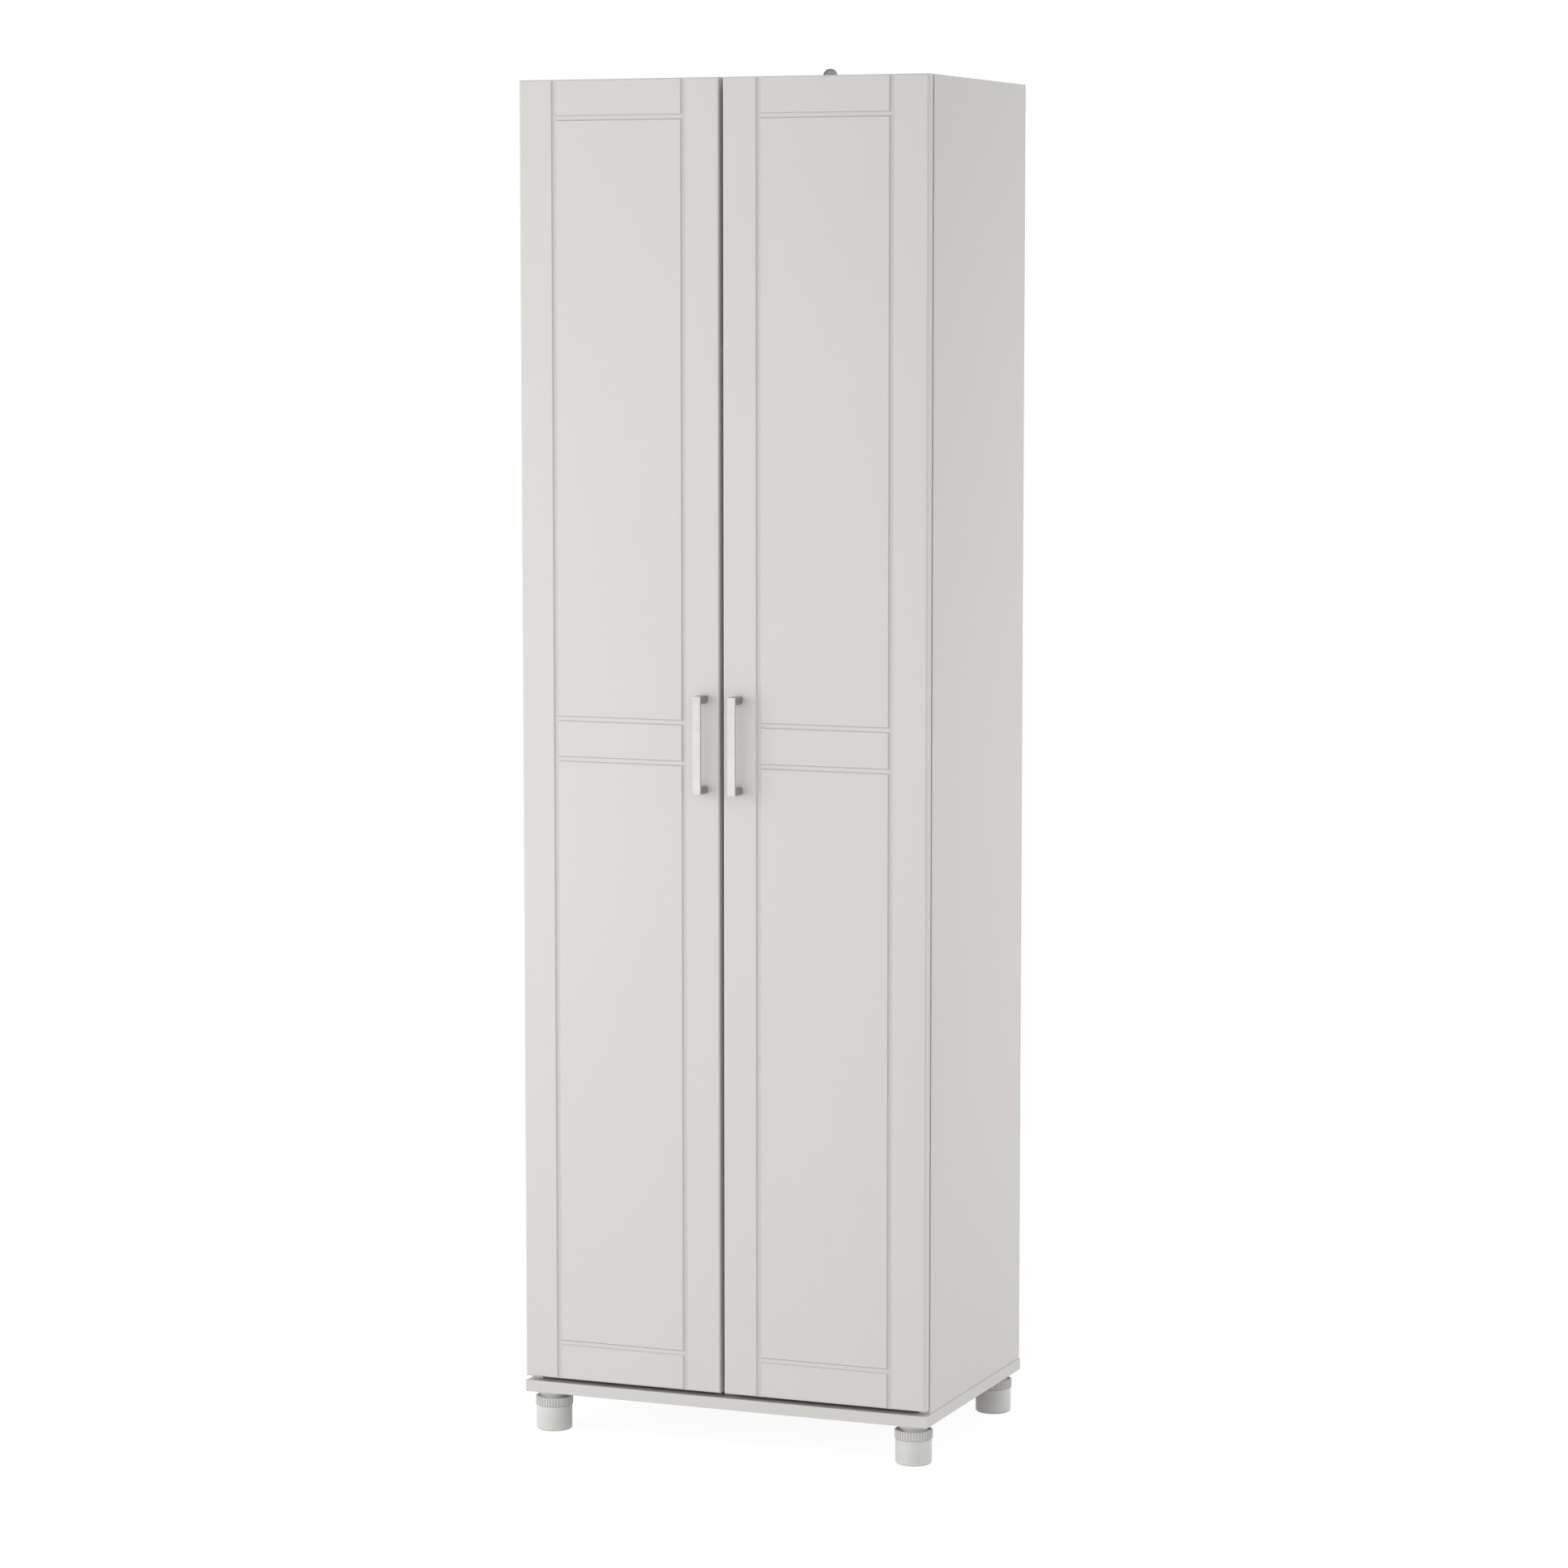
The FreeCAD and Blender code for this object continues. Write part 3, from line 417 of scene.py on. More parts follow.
@dataclass(frozen=True)
class Beech:
    """Bare beech with short brown flecks along its grain."""

    name: str
    colour: Colour
    grain: Marks = (120.0, 900.0, 900.0)
    flecks: Marks = (500.0, 2600.0, 2600.0)
    fleck_part: float = 0.5
    tones: Span = (0.8, 1.12)
    roughness: Span = (0.55, 0.7)
    depth: float = 0.05 * MILLIMETRE

    def make(self) -> Material:
        """Return the material."""
        graph = ShaderGraph(self.name)
        grain = graph.noise(self.grain, detail=4.0)
        flecks = graph.noise(self.flecks, detail=1.0)
        share = graph.mottle(grain, flecks, self.fleck_part)
        graph.connect(Base_Color=graph.shades(share, self.colour, self.tones))
        graph.roughen(grain, self.roughness)
        graph.bump(grain, self.depth)
        return graph.material


class Finishes:
    """Every finish of the cupboard, made once."""

    board: Colour = (0.695, 0.681, 0.654)
    coat_share: float = 0.1
    bracket_ring: float = 2.4 * MILLIMETRE

    def __init__(self) -> None:
        """Make the materials."""
        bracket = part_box("wall_bracket")
        ear_radius = (bracket[1].x - bracket[0].x) / 2
        ear = Vector(((bracket[0].x + bracket[1].x) / 2, bracket[1].y, bracket[1].z - ear_radius))
        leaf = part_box("back_panel_left")
        coat_end = leaf[0].y + (leaf[1].y - leaf[0].y) * self.coat_share
        self.upright_board = Laminate("laminate_upright", self.board, Grain.UPRIGHT).make()
        self.level_board = Laminate("laminate_level", self.board, Grain.LEVEL).make()
        # The grooves' darker laminate is painted shade, darker still in the level grooves.
        groove_shade = Laminate("laminate_upright_groove_painted_shade", (0.635, 0.622, 0.598), Grain.UPRIGHT)
        self.upright_groove_shade = groove_shade.make()
        groove_shade = Laminate("laminate_level_groove_painted_shade", (0.59, 0.578, 0.555), Grain.LEVEL)
        self.level_groove_shade = groove_shade.make()
        self.hardboard = Hardboard("hardboard", (0.66, 0.65, 0.62), (0.30, 0.19, 0.105), coat_end).make()
        self.tape = Tape("fold_tape", (0.70, 0.69, 0.66)).make()
        # The handle's edge and post finishes are darker copies of the front's nickel: painted shade.
        self.bar_front = Metal("satin_nickel_face", (0.80, 0.77, 0.75), (0.28, 0.4)).make()
        self.bar_edge_shade = Metal("satin_nickel_edge_painted_shade", (0.55, 0.535, 0.515), (0.34, 0.46)).make()
        self.bar_post_shade = Metal("satin_nickel_post_painted_shade", (0.42, 0.405, 0.39), (0.36, 0.48), Brushing.ALONG).make()
        plate = {"brushing": Brushing.EVEN, "tones": (0.98, 1.02), "depth": 0.002 * MILLIMETRE}
        self.nickel = Metal("satin_nickel", (0.68, 0.665, 0.64), (0.24, 0.36), **plate).make()
        plate = {"brushing": Brushing.EVEN, "tones": (0.97, 1.03), "depth": 0.003 * MILLIMETRE}
        self.zinc = Metal("zinc_plate", (0.58, 0.59, 0.61), (0.26, 0.38), **plate).make()
        self.bracket = RingedMetal("bracket_steel", (0.48, 0.48, 0.475), ear, self.bracket_ring).make()
        self.plastic = Plastic("foot_plastic", (0.72, 0.713, 0.692)).make()
        self.rubber = Plastic("bumper_rubber", (0.74, 0.735, 0.70), (0.44, 0.56), subsurface=0.4).make()
        self.beech = Beech("beech", (0.53, 0.34, 0.17)).make()


def dress(node: str, material: Material) -> Piece:
    """Give a CAD node one material all over.

    Args:
        node: the node's name.
        material: its finish.

    Returns:
        The node's object.
    """
    piece = frame["nodes"][node]
    piece.data.materials.clear()
    piece.data.materials.append(material)
    return piece


def body_of(node: str) -> str:
    """Return the name of the body that carries a CAD node."""
    bodies = frame["record"]["behaviour"]["bodies"]
    return next(body for body, nodes in bodies.items() if node in nodes)


def stand_for(piece: Piece, node: str) -> Piece:
    """Show a piece in place of a CAD node, on the same body.

    Args:
        piece: the new object.
        node: the name of the node that it hides.

    Returns:
        The same object.
    """
    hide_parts(node)
    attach(piece, body_of(node))
    return piece


def new_piece(name: str, data: bpy.types.ID, *materials: Material) -> Piece:
    """Add an object to the scene.

    Args:
        name: the object's name.
        data: its mesh, lamp or camera.
        materials: a mesh's materials, in order.

    Returns:
        The new object.
    """
    piece = bpy.data.objects.new(name, data)
    for material in materials:
        data.materials.append(material)
    bpy.context.scene.collection.objects.link(piece)
    return piece


def mesh_of(shape: bmesh.types.BMesh, name: str) -> Mesh:
    """Make a mesh of a shape, and free the shape.

    Args:
        shape: the shape.
        name: the mesh's name.

    Returns:
        The mesh, shaded smooth but for its sharp edges.
    """
    mesh = bpy.data.meshes.new(name)
    shape.to_mesh(mesh)
    shape.free()
    mesh.polygons.foreach_set("use_smooth", [True] * len(mesh.polygons))
    mesh.set_sharp_from_angle(angle=SHARP_EDGE)
    return mesh


def arc(centre: tuple[float, float], radius: float, start: float, end: float, steps: int) -> Outline:
    """Return the ends of an arc's chords, from its start to its end angle in degrees."""
    angles = [math.radians(start + (end - start) * step / steps) for step in range(steps + 1)]
    return [(centre[0] + radius * math.cos(a), centre[1] + radius * math.sin(a)) for a in angles]


def turned(name: str, outline: Outline, segments: int, place: Vector | None = None) -> Mesh:
    """Return a mesh turned about Z.

    Args:
        name: the mesh's name.
        outline: corners of (radius, height), closed on itself or ending on the axis.
        segments: how many steps make a full turn.
        place: where the axis stands on the floor.

    Returns:
        The closed mesh, with its faces outwards.
    """
    shape = bmesh.new()
    loop = [shape.verts.new((radius, 0.0, height)) for radius, height in outline]
    ends_on_axis = outline[0][0] == 0.0 and outline[-1][0] == 0.0
    pairs = zip(loop, loop[1:] if ends_on_axis else loop[1:] + loop[:1])
    edges = [shape.edges.new(pair) for pair in pairs]
    turn = {"axis": (0, 0, 1), "cent": (0, 0, 0), "angle": 2 * math.pi}
    bmesh.ops.spin(shape, geom=loop + edges, steps=segments, use_merge=True, **turn)
    bmesh.ops.remove_doubles(shape, verts=shape.verts, dist=WELD)
    bmesh.ops.recalc_face_normals(shape, faces=shape.faces)
    mesh = mesh_of(shape, name)
    mesh.transform(Matrix.Translation(place or Vector()))
    return mesh


class GeometryTree(NodeGraph):
    """A Geometry Nodes tree in the making, with named inputs."""

    def __init__(self, name: str, sizes: dict[str, str]) -> None:
        """Start a tree.

        Args:
            name: the tree's name.
            sizes: each input's name and its kind of socket.
        """
        super().__init__(bpy.data.node_groups.new(name, "GeometryNodeTree"))
        self.tree.is_modifier = True
        for way in ("INPUT", "OUTPUT"):
            self.tree.interface.new_socket("Geometry", in_out=way, socket_type="NodeSocketGeometry")
        self.identifiers: dict[str, str] = {}
        for size, kind in sizes.items():
            socket = self.tree.interface.new_socket(size, in_out="INPUT", socket_type=f"NodeSocket{kind}")
            self.identifiers[size] = socket.identifier
        self.inputs = self.tree.nodes.new("NodeGroupInput").outputs

    def finish(self, geometry: Socket) -> None:
        """End the tree: real geometry, smooth but for its sharp edges, in the Finish material.

        Args:
            geometry: the socket of the finished shape.
        """
        real = self.add("GeometryNodeRealizeInstances", {"Geometry": geometry}).outputs[0]
        smooth = self.add("GeometryNodeSetShadeSmooth", {"Geometry": real}).outputs[0]
        angle = self.add("GeometryNodeInputMeshEdgeAngle").outputs["Unsigned Angle"]
        sharp = self.reckon("GREATER_THAN", angle, SHARP_EDGE)
        inputs = {"Geometry": smooth, "Name": "sharp_edge", "Value": sharp}
        store = self.add("GeometryNodeStoreNamedAttribute", inputs, data_type="BOOLEAN", domain="EDGE")
        inputs = {"Geometry": store.outputs[0], "Material": self.inputs["Finish"]}
        dressed = self.add("GeometryNodeSetMaterial", inputs).outputs[0]
        self.add("NodeGroupOutput", {"Geometry": dressed})

    def run(self, piece: Piece, values: dict[str, object]) -> Piece:
        """Turn an object into the tree's plain mesh.

        Args:
            piece: the object that the tree works on.
            values: a value for each named input.

        Returns:
            The same object, with its new mesh.
        """
        modifier = piece.modifiers.new("tree", "NODES")
        modifier.node_group = self.tree
        for name, value in values.items():
            modifier[self.identifiers[name]] = value
        graph = bpy.context.evaluated_depsgraph_get()
        mesh = bpy.data.meshes.new_from_object(piece.evaluated_get(graph))
        piece.modifiers.clear()
        piece.data = mesh
        return piece


def fastener_tree(drive: Drive) -> GeometryTree:
    """Return the tree that cuts a recess into one fastener and sets a copy at each point.

    Args:
        drive: the recess.

    Returns:
        The tree. Its points carry the way that each head faces.
    """
    recess = ("Recess Length", "Recess Width", "Recess Depth")
    sizes = {"Fastener": "Object", "Seed": "Int", "Finish": "Material", **dict.fromkeys(recess, "Float")}
    tree = GeometryTree(f"fasteners_{drive.name.lower()}", sizes)
    one = tree.add("GeometryNodeObjectInfo", {"Object": tree.inputs["Fastener"]}).outputs["Geometry"]
    length, width, depth = (tree.inputs[name] for name in recess)
    bars = []
    for sides in ((length, width), (width, length))[: drive.value]:
        sunk = tree.reckon("MULTIPLY", depth, 2.0)
        size = tree.add("ShaderNodeCombineXYZ", {"X": sides[0], "Y": sides[1], "Z": sunk}).outputs[0]
        bars.append(tree.add("GeometryNodeMeshCube", {"Size": size}).outputs["Mesh"])
    if bars:
        cut = tree.add("GeometryNodeMeshBoolean", {"Mesh 1": one, "Mesh 2": bars}, operation="DIFFERENCE")
        one = cut.outputs["Mesh"]
    named = tree.add("GeometryNodeInputNamedAttribute", {"Name": "facing"}, data_type="FLOAT_VECTOR")
    facing = {"Vector": named.outputs[0]}
    upright = tree.add("FunctionNodeAlignRotationToVector", facing, axis="Z").outputs[0]
    angle = tree.add(
        "FunctionNodeRandomValue", {2: 0.0, 3: math.pi, "Seed": tree.inputs["Seed"]}, data_type="FLOAT"
    ).outputs[1]
    spin = tree.add("FunctionNodeAxisAngleToRotation", {"Axis": (0, 0, 1), "Angle": angle}).outputs[0]
    rotation = tree.add(
        "FunctionNodeRotateRotation", {"Rotation": upright, "Rotate By": spin}, rotation_space="LOCAL"
    ).outputs[0]
    points = {"Points": tree.inputs["Geometry"], "Instance": one, "Rotation": rotation}
    tree.finish(tree.add("GeometryNodeInstanceOnPoints", points).outputs[0])
    return tree


def rib_tree(sides: int = 10, cap_rings: int = 6) -> GeometryTree:
    """Return the tree that stands round-ended ribs about a collar's body.

    Args:
        sides: how many sides a rib has.
        cap_rings: how many rings its round ends have.

    Returns:
        The tree.
    """
    lengths = dict.fromkeys(("Circle", "Rib Radius", "Rib Height"), "Float")
    sizes = {"Count": "Int", "Place": "Vector", "Finish": "Material", **lengths}
    tree = GeometryTree("collar_ribs", sizes)
    radius, height = tree.inputs["Rib Radius"], tree.inputs["Rib Height"]
    shank = {"Vertices": sides, "Radius": radius, "Depth": height}
    bodies = [tree.add("GeometryNodeMeshCylinder", shank, fill_type="NONE").outputs["Mesh"]]
    for end in (-0.5, 0.5):
        lift = tree.reckon("MULTIPLY", height, end)
        place = tree.add("ShaderNodeCombineXYZ", {"Z": lift}).outputs[0]
        ball = {"Segments": sides, "Rings": cap_rings, "Radius": radius}
        cap = tree.add("GeometryNodeMeshUVSphere", ball).outputs["Mesh"]
        moved = tree.add("GeometryNodeTransform", {"Geometry": cap, "Translation": place})
        bodies.append(moved.outputs["Geometry"])
    rib = tree.add("GeometryNodeJoinGeometry", {"Geometry": bodies}).outputs[0]
    ring = {"Vertices": tree.inputs["Count"], "Radius": tree.inputs["Circle"]}
    circle = tree.add("GeometryNodeMeshCircle", ring).outputs["Mesh"]
    placed = tree.add(
        "GeometryNodeTransform", {"Geometry": circle, "Translation": tree.inputs["Place"]}
    ).outputs["Geometry"]
    ribs = tree.add("GeometryNodeInstanceOnPoints", {"Points": placed, "Instance": rib}).outputs[0]
    whole = {"Geometry": [tree.inputs["Geometry"], ribs]}
    tree.finish(tree.add("GeometryNodeJoinGeometry", whole).outputs[0])
    return tree


@dataclass(frozen=True)
class Seat:
    """Where one fastener sits: its head's outer face, the way that faces, and its sizes."""

    place: Vector
    facing: Vector
    length: float
    head_radius: float
    shank_radius: float


def islands(node: str) -> list[list[Vector]]:
    """Sort a CAD node's corners by solid.

    Args:
        node: the node's name.

    Returns:
        The corners of each separate solid, in an order that is the same each run.
    """
    shape = bmesh.new()
    shape.from_mesh(frame["nodes"][node].data)
    bmesh.ops.remove_doubles(shape, verts=shape.verts, dist=WELD)
    waiting = set(shape.verts)
    found = []
    while waiting:
        front = [waiting.pop()]
        corners = []
        while front:
            corner = front.pop()
            corners.append(corner.co.copy())
            linked = {edge.other_vert(corner) for edge in corner.link_edges} & waiting
            waiting -= linked
            front.extend(linked)
        found.append(corners)
    shape.free()
    return sorted(found, key=lambda solid: [round(value, SORT_DIGITS) for value in min(map(tuple, solid))])


def box_of(corners: list[Vector]) -> tuple[Vector, Vector]:
    """Return the low and the high corner of the box about some corners."""
    low = Vector([min(corner[axis] for corner in corners) for axis in range(3)])
    return low, Vector([max(corner[axis] for corner in corners) for axis in range(3)])


def reach(corners: list[Vector], centre: Vector, along: int, level: float) -> float:
    """Return how far corners at one level along an axis through the centre lie from it, at most."""
    spokes = [corner - centre for corner in corners if abs(corner[along] - level) < SAME_LEVEL]
    return max(math.hypot(*(spoke[axis] for axis in range(3) if axis != along)) for spoke in spokes)


def seat_of(corners: list[Vector]) -> Seat:
    """Return the seat of a fastener from the corners of its solid.

    Args:
        corners: the solid's corners. It lies along its longest side.

    Returns:
        The seat, with the head at the wider end.
    """
    low, high = box_of(corners)
    sides = high - low
    along = max(range(3), key=lambda i: sides[i])
    centre = (low + high) / 2
    low_reach = reach(corners, centre, along, low[along])
    high_reach = reach(corners, centre, along, high[along])
    head_is_high = high_reach > low_reach
    place = centre.copy()
    place[along] = high[along] if head_is_high else low[along]
    facing = Vector()
    facing[along] = 1.0 if head_is_high else -1.0
    return Seat(place, facing, sides[along], max(low_reach, high_reach), min(low_reach, high_reach))


@dataclass
class FastenerSet:
    """All the fasteners of one CAD node, remade with domed heads and recesses."""

    node: str
    head_height: float
    drive: Drive = Drive.CROSS
    segments: int = 20
    dome: float = 0.35
    dome_steps: tuple[float, ...] = (0.0, 0.5, 0.75, 0.92)
    rim_share: float = 0.6
    tip_share: float = 0.3
    recess_length: float = 1.25
    recess_width: float = 0.26
    recess_depth: float = 0.55
    seed: int = 7

    def outline(self, seat: Seat) -> Outline:
        """Draw the side of one fastener.

        Args:
            seat: where the fastener sits.

        Returns:
            Corners from the top of its head to its tip, as (radius, height).
        """
        radius, shank = seat.head_radius, seat.shank_radius
        drop = self.head_height * self.dome
        top = [(radius * share, -drop * share ** 2) for share in self.dome_steps]
        tip = seat.length - shank
        return top + [
            (radius, -self.head_height * self.rim_share),
            (radius, -self.head_height),
            (shank, -self.head_height),
            (shank, -tip),
            (shank * self.tip_share, -seat.length),
            (0.0, -seat.length),
        ]

    def build(self, finish: Material) -> Piece:
        """Return the piece that stands for the CAD node.

        Args:
            finish: the fasteners' material.

        Returns:
            One mesh with every fastener of the node.
        """
        seats = [seat_of(corners) for corners in islands(self.node)]
        pattern = bpy.data.objects.new("pattern", turned("pattern", self.outline(seats[0]), self.segments))
        points = bpy.data.meshes.new(f"{self.node}_points")
        points.from_pydata([seat.place for seat in seats], [], [])
        facing = points.attributes.new("facing", "FLOAT_VECTOR", "POINT")
        facing.data.foreach_set("vector", [value for seat in seats for value in seat.facing])
        piece = new_piece(f"{self.node}_made", points)
        radius = seats[0].head_radius
        values = {
            "Fastener": pattern,
            "Recess Length": radius * self.recess_length,
            "Recess Width": radius * self.recess_width,
            "Recess Depth": self.head_height * self.recess_depth,
            "Seed": self.seed,
            "Finish": finish,
        }
        fastener_tree(self.drive).run(piece, values)
        bpy.data.objects.remove(pattern)
        return stand_for(piece, self.node)


@dataclass
class Case:
    """The boards of the case, its shelves and the fasteners that hold them."""

    upright: tuple[str, ...] = ("left_side_panel", "right_side_panel", "divider_panel")
    level: tuple[str, ...] = (
        "base_panel",
        "top_panel",
        "fixed_shelf",
        "adjustable_shelf_lower",
        "adjustable_shelf_middle",
        "adjustable_shelf_upper",
    )
    plated: tuple[str, ...] = ("cam_locks", "cam_bolts", "shelf_pins")
    screw_head: float = 3.5 * MILLIMETRE

    def build(self, finishes: Finishes) -> list[Piece]:
        """Dress the case.

        Args:
            finishes: the cupboard's finishes.

        Returns:
            The case's pieces.
        """
        pieces = [dress(node, finishes.upright_board) for node in self.upright]
        pieces += [dress(node, finishes.level_board) for node in self.level]
        pieces += [dress(node, finishes.zinc) for node in self.plated]
        pieces.append(dress("dowels", finishes.beech))
        pieces.append(FastenerSet("assembly_screws", self.screw_head).build(finishes.zinc))
        return pieces


@dataclass
class Back:
    """The folding back: two leaves, their tape and the nails."""

    nail_head: float = 0.8 * MILLIMETRE
    nail_segments: int = 14

    def build(self, finishes: Finishes) -> list[Piece]:
        """Dress the back.

        Args:
            finishes: the cupboard's finishes.

        Returns:
            The back's pieces.
        """
        pieces = [dress(f"back_panel_{side}", finishes.hardboard) for side in SIDES]
        pieces.append(dress("back_fold_tape", finishes.tape))
        nails = FastenerSet("back_nails", self.nail_head, Drive.PLAIN, self.nail_segments)
        pieces.append(nails.build(finishes.zinc))
        return pieces


@dataclass
class Hinges:
    """The hinge plates and arms on the case, with their screws."""

    screw_head: float = 1.8 * MILLIMETRE

    def build(self, finishes: Finishes) -> list[Piece]:
        """Dress the hinges' parts on the case.

        Args:
            finishes: the cupboard's finishes.

        Returns:
            Their pieces.
        """
        pieces = []
        for side in SIDES:
            for part in ("arms", "plates"):
                pieces.append(dress(f"{side}_hinge_{part}", finishes.nickel))
        for node in ("hinge_plate_screws", "hinge_clamp_screws"):
            pieces.append(FastenerSet(node, self.screw_head).build(finishes.zinc))
        return pieces


@dataclass
class Handle:
    """A bar handle: a flat bar on two posts, each rounded where it meets the door inside."""

    side: str
    bar_thickness: float = 4.0 * MILLIMETRE
    post_height: float = 10.5 * MILLIMETRE
    post_round: float = 5.5 * MILLIMETRE
    arc_steps: int = 10
    edge_round: float = 0.45 * MILLIMETRE
    edge_steps: int = 3
    edge_angle: float = math.radians(40)
    front_tilt: float = 0.5
    end_tilt: float = 0.7

    def outline(self, low: Vector, high: Vector) -> Outline:
        """Draw the side of the handle.

        Args:
            low: the low corner of the handle's box.
            high: its high corner.

        Returns:
            Corners of (y, z), from the low post's foot round.
        """
        grip_low, grip_high = low.z + self.post_height, high.z - self.post_height
        round_y = high.y - self.post_round
        bar_y = low.y + self.bar_thickness
        low_round = arc((round_y, grip_low - self.post_round), self.post_round, 90, 0, self.arc_steps)
        high_round = arc((round_y, grip_high + self.post_round), self.post_round, 0, -90, self.arc_steps)
        return (
            [(high.y, low.z), (low.y, low.z), (low.y, high.z), (high.y, high.z)]
            + high_round
            + [(bar_y, grip_high), (bar_y, grip_low)]
            + low_round
        )

    def finish_of(self, face: bmesh.types.BMFace, bar_back: float) -> Bar:
        """Choose a face's finish: the front's nickel, or a darker copy of it as painted shade.

        Args:
            face: a face of the handle.
            bar_back: where the bar ends and the posts start, on Y.

        Returns:
            The finish. The handle's ends have that of the posts.
        """
        if face.normal.y < -self.front_tilt:
            return Bar.FRONT
        if face.calc_center_median().y < bar_back and abs(face.normal.z) < self.end_tilt:
            return Bar.EDGE
        return Bar.POST

    def build(self, finishes: Finishes) -> Piece:
        """Make the handle with eased edges, its bar's edges, its posts and its ends in darker copies of the
        front's nickel as painted shade.

        Args:
            finishes: the cupboard's finishes.

        Returns:
            The piece that stands for the CAD handle.
        """
        node = f"{self.side}_handle"
        low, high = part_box(node)
        shape = bmesh.new()
        corners = [shape.verts.new((low.x, y, z)) for y, z in self.outline(low, high)]
        cap = shape.faces.new(corners)
        grown = bmesh.ops.extrude_face_region(shape, geom=[cap])["geom"]
        moved = [item for item in grown if isinstance(item, bmesh.types.BMVert)]
        bmesh.ops.translate(shape, verts=moved, vec=(high.x - low.x, 0.0, 0.0))
        bmesh.ops.recalc_face_normals(shape, faces=shape.faces)
        bar_back = low.y + self.bar_thickness
        cut = {"geom": shape.verts[:] + shape.edges[:] + shape.faces[:], "dist": WELD}
        bmesh.ops.bisect_plane(shape, plane_co=(0, bar_back, 0), plane_no=(0, 1, 0), **cut)
        sharp = [edge for edge in shape.edges if edge.calc_face_angle(0.0) > self.edge_angle]
        ease = {"offset": self.edge_round, "segments": self.edge_steps, "profile": 0.5}
        bmesh.ops.bevel(shape, geom=sharp, affect="EDGES", clamp_overlap=True, **ease)
        for face in shape.faces:
            face.material_index = self.finish_of(face, bar_back)
        name = f"{node}_made"
        metals = (finishes.bar_front, finishes.bar_edge_shade, finishes.bar_post_shade)
        return stand_for(new_piece(name, mesh_of(shape, name), *metals), node)


@dataclass
class Door:
    """One door with its handle, bumpers, hinge cups and screws."""

    side: str
    cup_screw_head: float = 1.8 * MILLIMETRE
    handle_screw_head: float = 2.2 * MILLIMETRE
    edge_margin: float = 10.0 * MILLIMETRE
    groove_start: float = 0.3 * MILLIMETRE
    wall_tilt: float = 0.3

    def panel(self, finishes: Finishes) -> Piece:
        """Dress the door's panel, with painted shade in its grooves: their sunk faces get darker copies of
        the laminate.

        Args:
            finishes: the cupboard's finishes.

        Returns:
            The panel.
        """
        node = f"{self.side}_door_panel"
        piece = dress(node, finishes.upright_board)
        piece.data.materials.append(finishes.upright_groove_shade)
        piece.data.materials.append(finishes.level_groove_shade)
        low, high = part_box(node)
        margin, tilt = self.edge_margin, self.wall_tilt
        for face in piece.data.polygons:
            face_low, face_high = box_of([piece.data.vertices[index].co for index in face.vertices])
            tall = face_high.z - face_low.z > face_high.x - face_low.x
            within_width = low.x + margin < face.center.x < high.x - margin
            within_height = low.z + margin < face.center.z < high.z - margin
            # A sunk face of a groove gets a darker copy of the laminate: painted shade.
            sunk = face.normal.y < -tilt and face.center.y > low.y + self.groove_start
            if sunk and within_height and abs(face.normal.z) > tilt:
                face.material_index = Groove.LEVEL
            elif sunk and within_width and (abs(face.normal.x) > tilt or within_height and tall):
                face.material_index = Groove.UPRIGHT
        return piece

    def build(self, finishes: Finishes) -> list[Piece]:
        """Dress the door and make its handle and screws.

        Args:
            finishes: the cupboard's finishes.

        Returns:
            The door's pieces.
        """
        pieces = [
            self.panel(finishes),
            dress(f"{self.side}_door_bumpers", finishes.rubber),
            dress(f"{self.side}_hinge_cups", finishes.nickel),
            dress(f"{self.side}_hinge_pins", finishes.zinc),
            Handle(self.side).build(finishes),
        ]
        heads = {"hinge_cup_screws": self.cup_screw_head, "handle_screws": self.handle_screw_head}
        for node, head in heads.items():
            pieces.append(FastenerSet(f"{self.side}_{node}", head).build(finishes.zinc))
        return pieces


